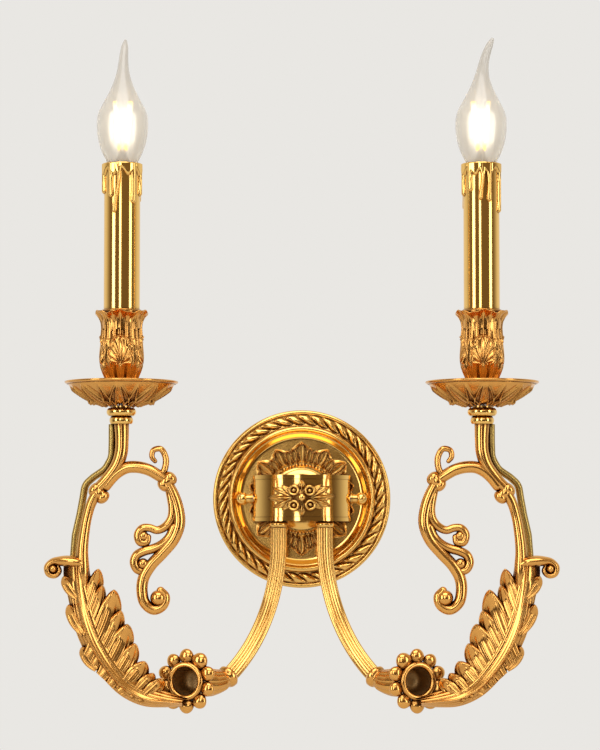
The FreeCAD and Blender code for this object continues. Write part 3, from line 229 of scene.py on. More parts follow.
def plate_front():
    rim = [(PLATE_RADIUS, 0.0), (PLATE_RADIUS, 2.2), (PLATE_RADIUS, 3.6), (62.3, 4.5),
           (61.8, 5.15), (61.0, 5.5), (60.2, 5.4), (59.6, 4.9)]
    rope = np.linspace(ROPE_OUTER, ROPE_INNER, 30)
    inner = np.concatenate([np.linspace(ROPE_INNER - 0.15, 47.0, 24), np.linspace(46.7, 41, 16),
                            np.linspace(40.6, 22.5, 96), np.linspace(22, 2, 22)])
    radius = np.concatenate([[reach for reach, level in rim], rope, inner])
    r, angle = net(radius, np.linspace(0, 360, 960, endpoint=False))
    across = (r - (ROPE_OUTER + ROPE_INNER) / 2) / ((ROPE_OUTER - ROPE_INNER) / 2)
    strand = angle * ROPE_STRANDS / 360 + across * 0.4 + 0.08 * np.sin(pi * across)
    lump = np.abs(np.sin(pi * strand)) ** 0.6
    in_rope = (r <= ROPE_OUTER) & (r >= ROPE_INNER)
    rope_height = 4.3 + 2.5 * np.sqrt(np.clip(1 - across ** 2, 0, 1)) * (0.1 + 1.0 * lump)
    ring = 6.4 + 3.5 * np.sqrt(np.clip(1 - ((r - 49.2) / 2.3) ** 2, 0, 1))
    cove = 5.5 + 1.9 * ease((r - 41) / 6) ** 1.6
    height = np.where(in_rope, rope_height, np.where(r > 46.9, ring, cove))
    height = np.where(r < FIELD_RADIUS, 5.5 + sunburst(r, angle), height)
    for row, (reach, level) in enumerate(rim):
        height[row] = level
    turn = np.radians(angle)
    return np.stack([r * np.sin(turn), -height, r * np.cos(turn)], -1)


def plate_back():
    profile = [(PLATE_RADIUS, 0.0), (61.4, 0.0), (61.3, 2.6), (58.6, 2.9), (52, 5.4), (49.2, 6.9),
               (46.5, 5.2), (41, 4.3)] + [(reach, 4.3) for reach in np.linspace(40.4, 2, 64)]
    turn = circle(180)
    rows = [np.stack([r * np.sin(turn), np.full_like(turn, -level), r * np.cos(turn)], -1)
            for r, level in profile]
    return np.stack(rows)


WINDOW_HALF_WIDTH, WINDOW_HALF_HEIGHT = 30.0, 11.2


def outside_window(centre):
    """Faces that lie outside the window cut for the yoke and the wires."""
    return (np.abs(centre[:, 0]) > WINDOW_HALF_WIDTH) | (np.abs(centre[:, 2]) > WINDOW_HALF_HEIGHT)


make_piece("wall_plate_detailed", [(plate_front(), True), (plate_back(), True)], pressed_brass,
           "sconce", ["wall_plate"], keep_face=outside_window)


# Strap, yoke and their screws ------------------------------------------------------------------
# Steel strap on the wall and the bent yoke that the housing slips over, bright zinc plated. The
# plating shows as a cool, faintly mottled grey.

def plated_steel(name, colour, roughness):
    material, tree = new_material(name)
    place = add(tree, "TexCoord").outputs["Object"]
    # crystals of the plating, about 3 mm
    spangle = add(tree, "TexVoronoi", {"Vector": place, "Scale": 330.0})
    tone = add(tree, "MapRange", {"Value": spangle.outputs["Distance"], "To Min": roughness - 0.06,
                                  "To Max": roughness + 0.08})
    shade = add(tree, "Mix", {0: spangle.outputs["Distance"], 6: linear(colour),
                              7: linear("8E8F8C")}, data_type="RGBA")
    shader = add(tree, "BsdfPrincipled", {
        "Base Color": shade.outputs[2], "Metallic": 1.0, "Roughness": tone.outputs[0]})
    add(tree, "OutputMaterial", {"Surface": shader.outputs[0]})
    return material


zinc_steel = plated_steel("bright_zinc_plated_steel", "C9CAC6", 0.32)
finish_node(zinc_steel, "mounting_strap", "mounting_yoke", "ornament_screw",
            *both("side_screw", "arm_nut", "threaded_nipple", "nipple_nut", "holder_bracket"))


# Terminal block and lampholders ----------------------------------------------------------------
# Moulded from off-white heat-proof plastic, matt, with a slight moulding texture. Their screws,
# thread shells and contacts are bare turned brass.

def moulded_plastic(name, colour, roughness):
    material, tree = new_material(name)
    place = add(tree, "TexCoord").outputs["Object"]
    # spark-eroded mould texture, about 1 mm
    texture = add(tree, "TexNoise", {"Vector": place, "Scale": 900.0, "Detail": 2.0})
    bump = add(tree, "Bump", {"Height": texture.outputs["Fac"], "Strength": 0.4, "Distance": 0.00004})
    rough = add(tree, "MapRange", {"Value": texture.outputs["Fac"], "To Min": roughness - 0.05,
                                   "To Max": roughness + 0.05})
    shader = add(tree, "BsdfPrincipled", {
        "Base Color": linear(colour), "Roughness": rough.outputs[0], "IOR": 1.5,
        "Normal": bump.outputs[0]})
    add(tree, "OutputMaterial", {"Surface": shader.outputs[0]})
    return material


white_plastic = moulded_plastic("moulded_white_thermoset", "E4E1D6", 0.5)
black_insulator = moulded_plastic("black_glass_insulator", "1B1A1A", 0.25)
# its second colour is painted shade in hollows and near other parts
bare_brass = gilt_brass("bare_turned_brass", "D8B46A", "7A5A24", 0.28, 0.4, 2.0, 0.02)
finish_node(white_plastic, "terminal_block", *both("lampholder"))
finish_node(black_insulator, *both("bulb_contact"))
finish_node(bare_brass, "terminal_screws", "earth_screw", *both("holder_shell", "holder_contact"))


# Body housing and side balls -------------------------------------------------------------------
# A half-round box of mirror-polished brass with a fine raised edge at top and bottom, and two
# turned balls that screw it to its yoke. The mirror shows the room as upright bands.

finish_node(polished_brass, "body_housing", *both("side_ball", "neck_collar"))


# Ornament --------------------------------------------------------------------------------------
# Cast flower on the housing's bow: a middle bead, four cup-shaped berries with a bead in each, a
# petal above and below, and a five-lobed ridged leaf to each side.

HOUSING_HALF, HOUSING_CROWN, HOUSING_FRONT = 33.6, 21.6, 41.6
BOW_RADIUS = (HOUSING_HALF ** 2 + HOUSING_CROWN ** 2) / (2 * HOUSING_CROWN)
BOW_CENTRE = HOUSING_FRONT - BOW_RADIUS


def on_bow(x, z, height):
    """Point that stands a height off the housing's bowed front."""
    turn = x / BOW_RADIUS
    reach = BOW_RADIUS + height
    return np.stack([reach * np.sin(turn), -BOW_CENTRE - reach * np.cos(turn), z], -1)


def leaf_blade(x, z, tilt, length, width, height):
    """Pointed lobe with a crest along its middle; it starts at (x, z) and leans by tilt."""
    s, t = net(np.linspace(0.001, 1, 22), np.linspace(-1, 1, 19))
    half = width * np.sin(pi * s ** 0.72) ** 0.8 * (1 - 0.15 * s) + 0.05
    crest = (1 - np.abs(t) ** 1.5) * (0.5 + 0.5 * np.sin(pi * np.clip(s * 0.9 + 0.1, 0, 1)))
    crest += 0.25 * np.exp(-(t / 0.13) ** 2) + 0.12 * np.cos(t * 3 * pi)
    turn = math.radians(tilt)
    along, side = s * length, t * half
    return (on_bow(x + along * math.cos(turn) - side * math.sin(turn),
                   z + along * math.sin(turn) + side * math.cos(turn), height * crest - 0.35), False)


def dome(x, z, radius, height, lift=0.0):
    s, turn = net(np.linspace(0.02, 1, 12), circle(28))
    return (on_bow(x + radius * s * np.cos(turn), z + radius * s * np.sin(turn),
                   lift + height * np.sqrt(np.clip(1 - s * s, 0, 1)) - 0.1), True)


def berry(x, z):
    """Cup with a rolled edge."""
    outline = [(0.1, 1.6), (1.6, 1.4), (2.1, 2.5), (2.6, 3.2), (3.2, 3.25), (3.7, 2.6), (3.9, 1.0),
               (3.95, -0.3)]
    turn = circle(30)
    rows = [on_bow(x + r * np.cos(turn), z + r * np.sin(turn), np.full_like(turn, h))
            for r, h in outline]
    return (np.stack(rows), True)


def ornament():
    grids = [dome(0, 0.2, 7.8, 1.5), dome(0, 0.3, 2.9, 2.7, 1.3)]
    for x, z in ((-5.3, 5.2), (5.3, 5.0), (-5.3, -5.2), (5.7, -4.9)):
        grids += [berry(x, z), dome(x, z, 1.6, 1.5, 1.3)]
    grids += [leaf_blade(0, 4.6, 90, 8.4, 3.4, 2.4), leaf_blade(0, -4.4, -90, 8.6, 3.6, 2.3)]
    for side in (-1, 1):
        lean = 4 if side > 0 else 0
        for tilt, start, length, width in ((0, 5.0, 20.4, 4.6), (24, 5.4, 17.2, 4.6),
                                           (-24, 5.4, 16.8, 4.6), (47, 6.0, 12.0, 4.2),
                                           (-47, 6.0, 11.6, 4.2)):
            way = tilt + lean if side > 0 else 180 - tilt
            grids.append(leaf_blade(side * start, 0, way, length, width, 2.4 - abs(tilt) / 90))
    return grids


make_piece("body_ornament_detailed", ornament(), pressed_brass, "sconce",
           ["body_ornament"])


# Arms ------------------------------------------------------------------------------------------
# Reeded brass tube, straight down from the housing and then in one bow outward and forward. A
# turned bead ring hides where each tube enters the housing.

ARM_SPREAD, ARM_DEPTH, ARM_TOP, ARM_STRAIGHT, COLLAR = 15.9, 28.0, 16.0, 14.0, 4.6
ARM_RADIUS, ARM_BEND, ARM_SPLAY, ARM_BOW, ARM_REEDS = 5.5, 52.0, 42.0, 115.0, 16
RING_MIDDLE, RING_THICK, RING_LEVEL, RING_TALL = 4.5, 2.25, -18.25, 2.2
TO_ROOM, UP = np.array([0.0, -1.0, 0.0]), np.array([0.0, 0.0, 1.0])


def swept(path, radius, across, count=40, shape=None, ends=True):
    """Grid round a path (n, 3). shape(turn, along) scales the radius; turn 0 is at the side that
    across points to."""
    along = np.gradient(path, axis=0)
    along /= np.linalg.norm(along, axis=1)[:, None]
    front = across - (along * across).sum(1)[:, None] * along
    front /= np.linalg.norm(front, axis=1)[:, None]
    side = np.cross(along, front)
    turn = circle(count)[None, :]
    place = np.linspace(0, 1, len(path))[:, None]
    radius = np.asarray(radius, float).reshape(-1, 1)
    reach = radius * (np.ones_like(turn) if shape is None else shape(turn, place))
    spread = (np.cos(turn)[..., None] * front[:, None, :]
              + np.sin(turn)[..., None] * side[:, None, :])
    grid = path[:, None, :] + reach[..., None] * spread
    if ends:
        steps = np.linspace(0.12, 0.98, 6)
        first = [path[0] + (grid[0] - path[0]) * math.sqrt(1 - k * k) - along[0] * k * radius[0]
                 for k in steps[::-1]]
        last = [path[-1] + (grid[-1] - path[-1]) * math.sqrt(1 - k * k) + along[-1] * k * radius[-1]
                for k in steps]
        grid = np.concatenate([np.stack(first), grid, np.stack(last)])
    return grid


CANDLE_X, CANDLE_Y = -121.8, -90.0


def turned(profile, count, relief=None, x=CANDLE_X, y=CANDLE_Y):
    """Grid turned about an upright line from (radius, height) rows. relief(turn, radius, height)
    adds to the radius outward and to the height."""
    rows = np.array(profile, float)
    turn = circle(count)[None, :]
    radius = np.repeat(rows[:, :1], count, 1)
    height = np.repeat(rows[:, 1:2], count, 1)
    if relief is not None:
        out, up = relief(turn, radius, height)
        radius, height = radius + out, height + up
    return np.stack([x + radius * np.sin(turn), y - radius * np.cos(turn), height], -1)


def arm_path():
    splay = math.radians(ARM_SPLAY)
    knee = np.array([-ARM_SPREAD, -ARM_DEPTH, -ARM_TOP - ARM_STRAIGHT])
    level = np.array([-math.cos(splay), -math.sin(splay), 0])
    straight = [knee + (0, 0, rise) for rise in np.linspace(ARM_STRAIGHT - COLLAR, 1, 12)]
    bends = np.radians(np.linspace(0, ARM_BEND, 60))
    bow = [knee + level * (ARM_BOW * (1 - math.cos(b))) - (0, 0, ARM_BOW * math.sin(b)) for b in bends]
    return np.array(straight + bow)


def reeds(turn, place):
    return 0.90 + 0.125 * np.sqrt(np.cos(turn * ARM_REEDS / 2) ** 2 + 0.02)


arm_line = arm_path()
arm_tube = swept(arm_line, np.full(len(arm_line), ARM_RADIUS), TO_ROOM, 280, reeds, False)
make_pair("arm_tube_reeded", [(arm_tube, True)], polished_brass, "sconce",
          ["arm_tube_*"])
bead_ring = [(RING_MIDDLE + RING_THICK * math.cos(k), RING_LEVEL - RING_TALL * math.sin(k))
             for k in np.linspace(-1.5, 1.5, 24)]
make_pair("arm_collar_turned", [(turned(bead_ring, 72, None, -ARM_SPREAD, -ARM_DEPTH), True)],
          polished_brass, "sconce", ["arm_collar_*"])


# Flower cups -----------------------------------------------------------------------------------
# Brass bell cast with ten puffed round petals and a deep throat, ribbed outside and soldered on the
# end of each arm. It is gilded outside; its throat is duller, and its darker colour is painted shade
# deep in the bell.

FLOWER_REACH, FLOWER_FALL, FLOWER_FACE = 39.5, 3.5, 24.0
PETAL_CIRCLE, PETAL_RADIUS, PETAL_THICK, PETAL_NUMBER = 16.0, 5.1, 3.5, 10
# size of each petal against the plain one, from the top one outward round the mouth
KNOB_SIZES = (1.0, 1.12, 1.0, 0.96, 1.0, 1.04, 1.12, 1.1, 0.98, 0.94)


def bezier(poles, count):
    u = np.linspace(0, 1, count)[:, None]
    a, b, c, d = poles
    return (1 - u) ** 3 * a + 3 * (1 - u) ** 2 * u * b + 3 * (1 - u) * u * u * c + u ** 3 * d


arm_tip = arm_line[-1]
arm_way = arm_line[-1] - arm_line[-2]
arm_way /= np.linalg.norm(arm_way)
splay, face = math.radians(ARM_SPLAY), math.radians(FLOWER_FACE)
facing = np.array([-math.sin(face), -math.cos(face), 0.0])
mouth_side = np.cross(UP, facing)
mouth = arm_tip + np.array([-math.cos(splay), -math.sin(splay), 0]) * FLOWER_REACH
mouth = mouth - (0, 0, FLOWER_FALL)


def flower_bell():
    pull = FLOWER_REACH * 0.36
    line = bezier((arm_tip, arm_tip + arm_way * pull, mouth - facing * pull, mouth - facing * 1.5), 70)
    place = np.linspace(0, 1, 70)
    radius = np.interp(place, (0, 0.04, 0.09, 0.14, 0.2, 0.42, 0.7, 0.88, 1),
                       (6.4, 7.9, 7.7, 6.4, 7.4, 9.2, 9.8, 11.2, 12.6))

    def ribs(turn, place):
        depth = 0.075 * ease((place - 0.14) / 0.1)
        return 1 + depth * (np.abs(np.cos(turn * PETAL_NUMBER / 2)) ** 0.8 - 0.5)

    return swept(line, radius, UP, 160, ribs, False)


def round_grid(rings, count=72):
    """Grid about the mouth's axis from (radius, depth towards the room) rows."""
    turn = circle(count)
    spread = np.cos(turn)[:, None] * UP + np.sin(turn)[:, None] * mouth_side
    return np.stack([mouth + spread * radius + facing * depth for radius, depth in rings])


# rows of a ball from one pole to the other
BALL_ROWS = np.linspace(0.01, pi - 0.01, 26)


def knob(angle, ring, radius, thick):
    """Puffed petal: a flattened ball with a dimple towards the throat."""
    outward = np.cos(angle) * UP + np.sin(angle) * mouth_side
    across = np.cross(facing, outward)
    s, turn = net(BALL_ROWS, circle(44))
    swell = 1 + 0.12 * np.cos(turn)
    long_way = radius * np.sin(s) * np.cos(turn) * swell
    wide_way = radius * np.sin(s) * np.sin(turn) * 1.02
    depth = thick * np.cos(s) * (1 - 0.25 * np.exp(-((long_way + radius * 0.45) / 1.6) ** 2))
    middle = mouth + outward * ring - facing * 1.2
    return (middle + long_way[..., None] * outward + wide_way[..., None] * across
            + depth[..., None] * facing, True)


def flower():
    collar = [(11.8, -3.6), (13.2, -1.6), (13.3, 0.4), (12.6, 1.9), (11.4, 2.6), (10.3, 2.4),
              (9.6, 1.6), (9.3, 0.2), (9.2, -1.5)]
    grids = [(flower_bell(), True), (round_grid(collar, 96), True)]
    for angle, size in zip(circle(PETAL_NUMBER), KNOB_SIZES):
        grids.append(knob(angle, PETAL_CIRCLE, PETAL_RADIUS * size, PETAL_THICK * size))
    return grids


make_pair("flower_cup_detailed", flower(), cast_brass, "sconce", ["flower_cup_*"])

# painted shade: the throat's darker colours stand for the shade deep in the bell
throat_shade_brass = gilt_brass("throat_brass_painted_shade", "A98A5E", "4A3016", 0.42, 0.6, 6.0, 0.03)
throat = [(9.3, 0.4), (9.1, -2.0), (8.8, -5.0), (8.4, -8.5), (7.9, -11.5), (6.8, -13.6), (4.6, -14.6),
          (2.2, -14.9), (0.1, -15.0)]
make_pair("flower_throat", [(round_grid(throat), True)], throat_shade_brass, "sconce")


# Scroll branches -------------------------------------------------------------------------------
# One casting in the candle's plane: stem, arch, hook and a scroll of three strands with a ball at
# its end. The strands are keeled towards the room, and beads hide the places where they meet.

STEM_UPPER = ((121.6, 48.6, 5.0), (121.3, 38.0, 4.5), (121.8, 29.5, 4.4), (124.2, 21.7, 4.2),
              (130.0, 13.0, 4.0), (137.5, 4.8, 3.8))
STEM_LOWER = ((137.5, 2.8, 3.8), (141.4, -4.0, 3.4), (144.1, -12.7, 3.2), (146.3, -24.8, 3.4),
              (147.5, -37.0, 3.8), (147.2, -50.0, 4.2), (146.6, -60.0, 2.6))
ARCH = ((132.0, 7.0, 3.6), (127.8, 12.5, 3.8), (123.3, 16.6, 3.9), (117.6, 19.4, 4.0),
        (111.1, 19.7, 4.0), (103.0, 17.7, 3.9), (96.4, 14.0, 3.8), (90.0, 9.6, 3.6))
HOOK = ((94.5, 13.5, 2.4), (92.2, 19.0, 2.2), (91.9, 26.5, 2.1), (95.5, 32.0, 2.0),
        (100.2, 30.8, 1.9), (100.9, 26.3, 1.8), (98.9, 23.6, 1.5))
SCROLL_OUTER = ((90.0, 8.0, 3.6), (86.5, 0.8, 3.9), (83.6, -8.0, 4.0), (82.6, -18.0, 4.1),
                (86.0, -28.5, 4.0), (93.8, -38.2, 3.9), (101.8, -46.8, 3.9), (106.4, -55.0, 3.9),
                (107.4, -63.5, 3.8), (105.2, -72.0, 3.7), (99.2, -76.2, 3.5), (93.2, -73.2, 3.3),
                (91.6, -67.4, 3.0), (95.0, -63.4, 2.7))
SCROLL_MIDDLE = ((86.0, -21.0, 3.3), (89.0, -27.5, 3.2), (94.5, -32.6, 3.1), (100.5, -35.4, 3.1),
                 (106.2, -37.0, 3.1), (111.2, -39.9, 3.1), (112.8, -44.6, 3.0), (110.2, -49.6, 2.8),
                 (105.6, -50.2, 2.5), (103.6, -47.2, 2.2))
SCROLL_INNER = ((88.9, 3.5, 3.0), (87.6, -3.0, 3.0), (86.9, -9.5, 3.0), (88.0, -15.5, 3.0),
                (92.0, -20.5, 2.9), (97.5, -22.8, 2.7), (102.5, -21.3, 2.7), (107.2, -21.6, 2.8),
                (110.3, -26.0, 2.8), (108.6, -31.0, 2.7), (104.4, -31.0, 2.4), (103.4, -27.4, 2.1))
# ball that ends each strand: (outward, height, radius)
BEADS = ((96.4, -68.4, 5.5), (106.7, -45.4, 3.8), (106.5, -26.7, 3.4))
# bindings where strands meet: (outward, height, tilt, half length, half width)
KNUCKLES = ((139.1, 4.6, 45, 5.3, 3.9), (133.9, -0.7, 45, 5.0, 3.7), (136.4, 2.1, -45, 5.4, 4.3),
            (88.5, 12.2, -49, 5.0, 3.8), (93.2, 7.4, -49, 4.8, 3.6), (90.8, 9.9, 41, 5.6, 4.6))


def through(stations, count):
    """Smooth run of rows through stations, evenly spaced by their first three columns."""
    rows = np.array(stations, float)
    chord = np.concatenate([[0], np.cumsum(np.linalg.norm(np.diff(rows[:, :3], axis=0), axis=1))])
    slope = np.gradient(rows, chord, axis=0)
    place = np.linspace(0, chord[-1], count)
    i = np.clip(np.searchsorted(chord, place, side="right") - 1, 0, len(rows) - 2)
    h = (chord[i + 1] - chord[i])[:, None]
    u = ((place - chord[i])[:, None]) / h
    return ((2 * u ** 3 - 3 * u ** 2 + 1) * rows[i] + (u ** 3 - 2 * u ** 2 + u) * h * slope[i]
            + (3 * u ** 2 - 2 * u ** 3) * rows[i + 1] + (u ** 3 - u ** 2) * h * slope[i + 1])


def keeled(turn, place):
    """Strand section: round behind, with a blunt crest towards the room."""
    front = (turn + pi) % (2 * pi) - pi
    return 0.99 + 0.06 * np.exp(-(front / 0.45) ** 2) - 0.03 * np.cos(2 * front)


def strand(stations, count=90):
    run = through([(-outward, CANDLE_Y, level, radius) for outward, level, radius in stations], count)
    return (swept(run[:, :3], run[:, 3], TO_ROOM, 44, keeled), True)


def knuckle(outward, level, tilt, half_length, half_width, depth=CANDLE_Y, thick=4.6):
    """Egg-shaped lump whose long way leans by tilt from the level."""
    s, turn = net(BALL_ROWS, circle(40))
    lean = math.radians(tilt)
    long_way = half_length * np.sin(s) * np.cos(turn)
    short_way = half_width * np.sin(s) * np.sin(turn)
    return (np.stack([-outward + long_way * math.cos(lean) - short_way * math.sin(lean),
                      depth - thick * np.cos(s),
                      level + long_way * math.sin(lean) + short_way * math.cos(lean)], -1), True)


def bead(outward, level, radius, depth=CANDLE_Y):
    return knuckle(outward, level, 0, radius, radius, depth, radius)


branch = [strand(run) for run in (STEM_UPPER, STEM_LOWER, ARCH, HOOK, SCROLL_OUTER, SCROLL_MIDDLE,
                                  SCROLL_INNER)]
branch += [bead(*spot) for spot in BEADS] + [knuckle(*spot) for spot in KNUCKLES]
make_pair("scroll_branch_keeled", branch, cast_brass, "sconce", ["scroll_branch_*"])


# Acanthus leaves -------------------------------------------------------------------------------
# Cast leaf: a ridged blade folded along its midrib, with cupped lobes that bow out of it and curl
# their round tips to the room. Its top is a thick horn that ends in a volute.

LEAF_FRONT, LEAF_FOLD, LEAF_SHEET, LEAFLET_SHEET, VOLUTE_BACK = -94.0, 6.5, 2.2, 1.7, 4
# midrib stations: (outward, height, width of the inner wing, width of the outer wing)
MIDRIB = ((80.0, -138.4, 4, 2.5), (93.0, -137.6, 7, 4), (104.3, -136.0, 9.5, 5),
          (116.9, -129.6, 12, 6), (127.9, -118.8, 14, 6.5), (138.4, -103.6, 15, 7),
          (145.5, -86.4, 14, 7.5), (149.4, -66.8, 11, 8), (151.0, -52.5, 8.5, 9.5),
          (151.4, -44.5, 8, 9))
# leaflets: root and tip as (outward, height), half width, bow to the tip's side
LEAFLETS = ((147.0, -84.0, 136.5, -47.5, 5.6, 2.5), (146.0, -93.0, 133.6, -58.5, 4.8, 2.5),
            (143.0, -108.0, 126.0, -61.5, 7.6, 6.5), (139.5, -113.0, 121.2, -75.5, 6.2, 4.0),
            (134.5, -121.0, 117.0, -84.5, 7.6, 6.0), (128.5, -126.5, 111.5, -97.5, 6.2, 4.0),
            (122.5, -130.5, 104.8, -109.5, 6.8, 4.5), (114.5, -134.0, 98.8, -117.5, 5.0, 3.0),
            (109.0, -136.5, 92.0, -121.0, 5.2, 3.0), (146.0, -92.0, 157.0, -71.5, 4.6, -3.0),
            (137.0, -115.5, 147.6, -99.5, 4.6, -3.0), (149.5, -68.0, 160.5, -52.5, 4.6, -2.5))


def leaf_blade_along_midrib():
    run = through([(-outward, LEAF_FRONT, level, inner, outer)
                   for outward, level, inner, outer in MIDRIB], 200)
    spine = run[:, :3]
    along = np.gradient(spine, axis=0)
    along /= np.linalg.norm(along, axis=1)[:, None]
    inward = np.cross(-TO_ROOM, along)
    s = np.linspace(0, 1, len(spine))[:, None]
    t = np.linspace(-1, 1, 101)[None, :]
    wide = np.abs(t)
    width = np.where(t > 0, run[:, 3][:, None], run[:, 4][:, None])
    # long ridges that run with the midrib
    ridges = 0.7 * np.abs(np.sin(wide * 3.5 * pi)) ** 0.8
    ridges = ridges * np.sin(pi * np.clip(s * 1.1, 0.05, 1)) ** 0.4
    depth = LEAF_FOLD * wide ** 1.5 - ridges - 1.1 * np.exp(-(t / 0.09) ** 2)
    front = spine[:, None, :] + inward[:, None, :] * (width * t)[..., None]
    front[..., 1] += depth
    back = front.copy()
    back[..., 1] += LEAF_SHEET * (1 - 0.6 * wide ** 4)
    return (np.concatenate([front, back[:, ::-1]], 1), True)


def leaflet(root_out, root_level, tip_out, tip_level, half, bow):
    """Cupped and fluted lobe that leaves the midrib, bows towards the leaf's end and curls its
    round tip to the room."""
    root, tip = np.array([-root_out, root_level]), np.array([-tip_out, tip_level])
    chord = tip - root
    reach = np.linalg.norm(chord)
    normal = np.array([chord[1], -chord[0]]) / reach
    s, t = net(np.linspace(0, 1, 46), np.linspace(-1, 1, 41))
    middle = root + chord * 0.5 + normal * bow
    line = (((1 - s) ** 2)[..., None] * root + (2 * s * (1 - s))[..., None] * middle
            + (s ** 2)[..., None] * tip)
    along = 2 * (1 - s)[..., None] * (middle - root) + 2 * s[..., None] * (tip - middle)
    along /= np.linalg.norm(along, axis=-1)[..., None]
    side = np.stack([-along[..., 1], along[..., 0]], -1)
    width = half * (0.5 + 0.5 * np.sin(pi * np.clip(s * 0.85 + 0.05, 0, 1)))
    width = width * np.sqrt(np.clip(1 - (np.clip(s - 0.72, 0, 1) / 0.281) ** 2, 0.001, 1))
    curl = ease((s - 0.55) / 0.45)
    cup = 2.2 * curl * (t ** 2 - 0.4) - 0.8 * (1 - t ** 2) - 1.6 * t * np.sign(bow) * np.sin(pi * s)
    flutes = 0.7 * np.sqrt(np.sin(t * 2.0 * pi) ** 2 + 0.03) * (1 - 0.7 * curl)
    vein = 0.8 * np.exp(-(t / 0.12) ** 2) * (1 - curl)
    depth = LEAF_FRONT + 1.4 + 6.5 * s ** 1.3 - 5.6 * curl ** 2 + cup - flutes - vein
    place = line + side * (width * t)[..., None] - along * (curl * 1.2)[..., None]
    front = np.stack([place[..., 0], depth, place[..., 1]], -1)
    back = front.copy()
    back[..., 1] += LEAFLET_SHEET
    return (np.concatenate([front, back[:, ::-1]], 1), True)


LEAF_TOP = ((146.5, -46.5, 2.6), (150.0, -44.8, 3.6), (156.0, -43.8, 3.9), (162.5, -43.6, 3.3),
            (168.0, -44.4, 2.5), (171.2, -48.0, 2.3), (170.0, -52.3, 2.1), (165.8, -53.2, 1.9),
            (163.0, -50.2, 1.7), (164.0, -46.8, 1.4))
LEAF_EYE = (167.2, -48.7, 3.1)


def volute():
    """Thick horn that runs along the leaf's top and curls round a solid eye."""
    middle = LEAF_FRONT + VOLUTE_BACK
    run = through([(-outward, middle, level, radius) for outward, level, radius in LEAF_TOP], 120)
    horn = swept(run[:, :3], run[:, 3], TO_ROOM, 40, keeled)
    horn[..., 1] = middle + (horn[..., 1] - middle) * 1.5
    return [(horn, True), knuckle(*LEAF_EYE[:2], 0, LEAF_EYE[2], LEAF_EYE[2], middle, 4.6)]


def leaf():
    return [leaf_blade_along_midrib()] + [leaflet(*spot) for spot in LEAFLETS] + volute()


make_pair("leaf_arm_acanthus", leaf(), cast_brass, "sconce", ["leaf_arm_*"])


# Wire tubes ------------------------------------------------------------------------------------
# Thin drawn brass tube that leads the wires up behind the leaf and the stem. It is duller than the
# castings, and its darker, greener colour is painted shade for where it lies behind them.

# painted shade: the darker, greener colour stands for the shade behind the leaf and the stem
conduit_shade_brass = gilt_brass("conduit_brass_painted_shade", "B79B58", "5A4520", 0.3, 0.42, 2.5, 0.02)
finish_node(conduit_shade_brass, *both("conduit"))


# Drip pans -------------------------------------------------------------------------------------
# Shallow cast dish with a plain bright rim. Long petals with thin raised edges stand round its
# underside, with a small curled leaf between each two.

PAN_LEVEL, PAN_RADIUS, PAN_DEPTH, PAN_PETALS = 60.8, 38.4, 16.7, 8


def pan_relief(turn, radius, height):
    """Petals with raised edges, which also make the lower outline slightly wavy."""
    step = 2 * pi / PAN_PETALS
    off = (turn + step / 2) % step - step / 2
    along = (radius - 8) / 27.5
    inside = np.clip(along, 0, 1)
    half = 5.8 * np.sin(pi * inside ** 0.8) ** 0.6 + 0.3
    gap = np.abs(off) * radius
    edge = (half - gap) / 0.55
    ridge = 1.3 * np.exp(-edge ** 2) + 0.9 * np.exp(-((half * 0.45 - gap) / 0.45) ** 2)
    between = (step / 2 - np.abs(off)) * radius
    curl = 0.9 * np.exp(-((between - 2.4 * np.sin(pi * inside ** 0.6)) / 0.6) ** 2)
    puff = 0.9 * np.clip(1 - gap / half, 0, 1)
    fade = ease(along * 6) * ease((1 - along) * 9)
    lift = (ridge + 1.3 * curl + 0.6 * puff) * fade
    return lift * 0.55, -lift * 1.3


def pan():
    under = [(8.2 + (PAN_RADIUS - 10.4) * k ** 0.9, PAN_LEVEL + 1.3 + (PAN_DEPTH - 3.4) * k ** 1.75)
             for k in np.linspace(0, 1, 90)]
    under_grid = turned(under, 480, pan_relief)
    rim = [(36.0, 75.3), (37.3, 75.8), (38.1, 76.3), (PAN_RADIUS, 76.9), (38.2, 77.4), (37.4, 77.6),
           (35.8, 77.3), (33.8, 76.6)]
    top = [(33.8 - 25 * k, 76.6 - 11.9 * k ** 0.65) for k in np.linspace(0.02, 1, 40)]
    return [(np.concatenate([under_grid, turned(rim + top, 480)]), True)]


make_pair("drip_pan_chased", pan(), cast_brass, "sconce", ["drip_pan_*"])


# Candle cups -----------------------------------------------------------------------------------
# Cast cup wrapped in acanthus: four shells round its middle, leaf ribs that rise between them, and
# a rim that breaks outward in leaf tips. A plain collar inside the rim holds the candle tube.

CUP = ((9.4, 63.6), (11.2, 63.9), (11.4, 65.2), (10.2, 67.0), (9.1, 69.4), (8.9, 72.2), (9.3, 76.0),
       (10.3, 80.0), (12.3, 84.4), (13.8, 88.8), (14.3, 93.6), (14.1, 98.5), (13.7, 104.6),
       (13.2, 110.0), (13.0, 114.8), (13.5, 118.0), (15.0, 121.0), (17.0, 123.0), (18.2, 124.2))


SHELL_NUMBER, SHELL_LEVEL, SHELL_REACH, CUP_WAIST, RIM_LIPS = 4, 96, 11.8, 14, 6


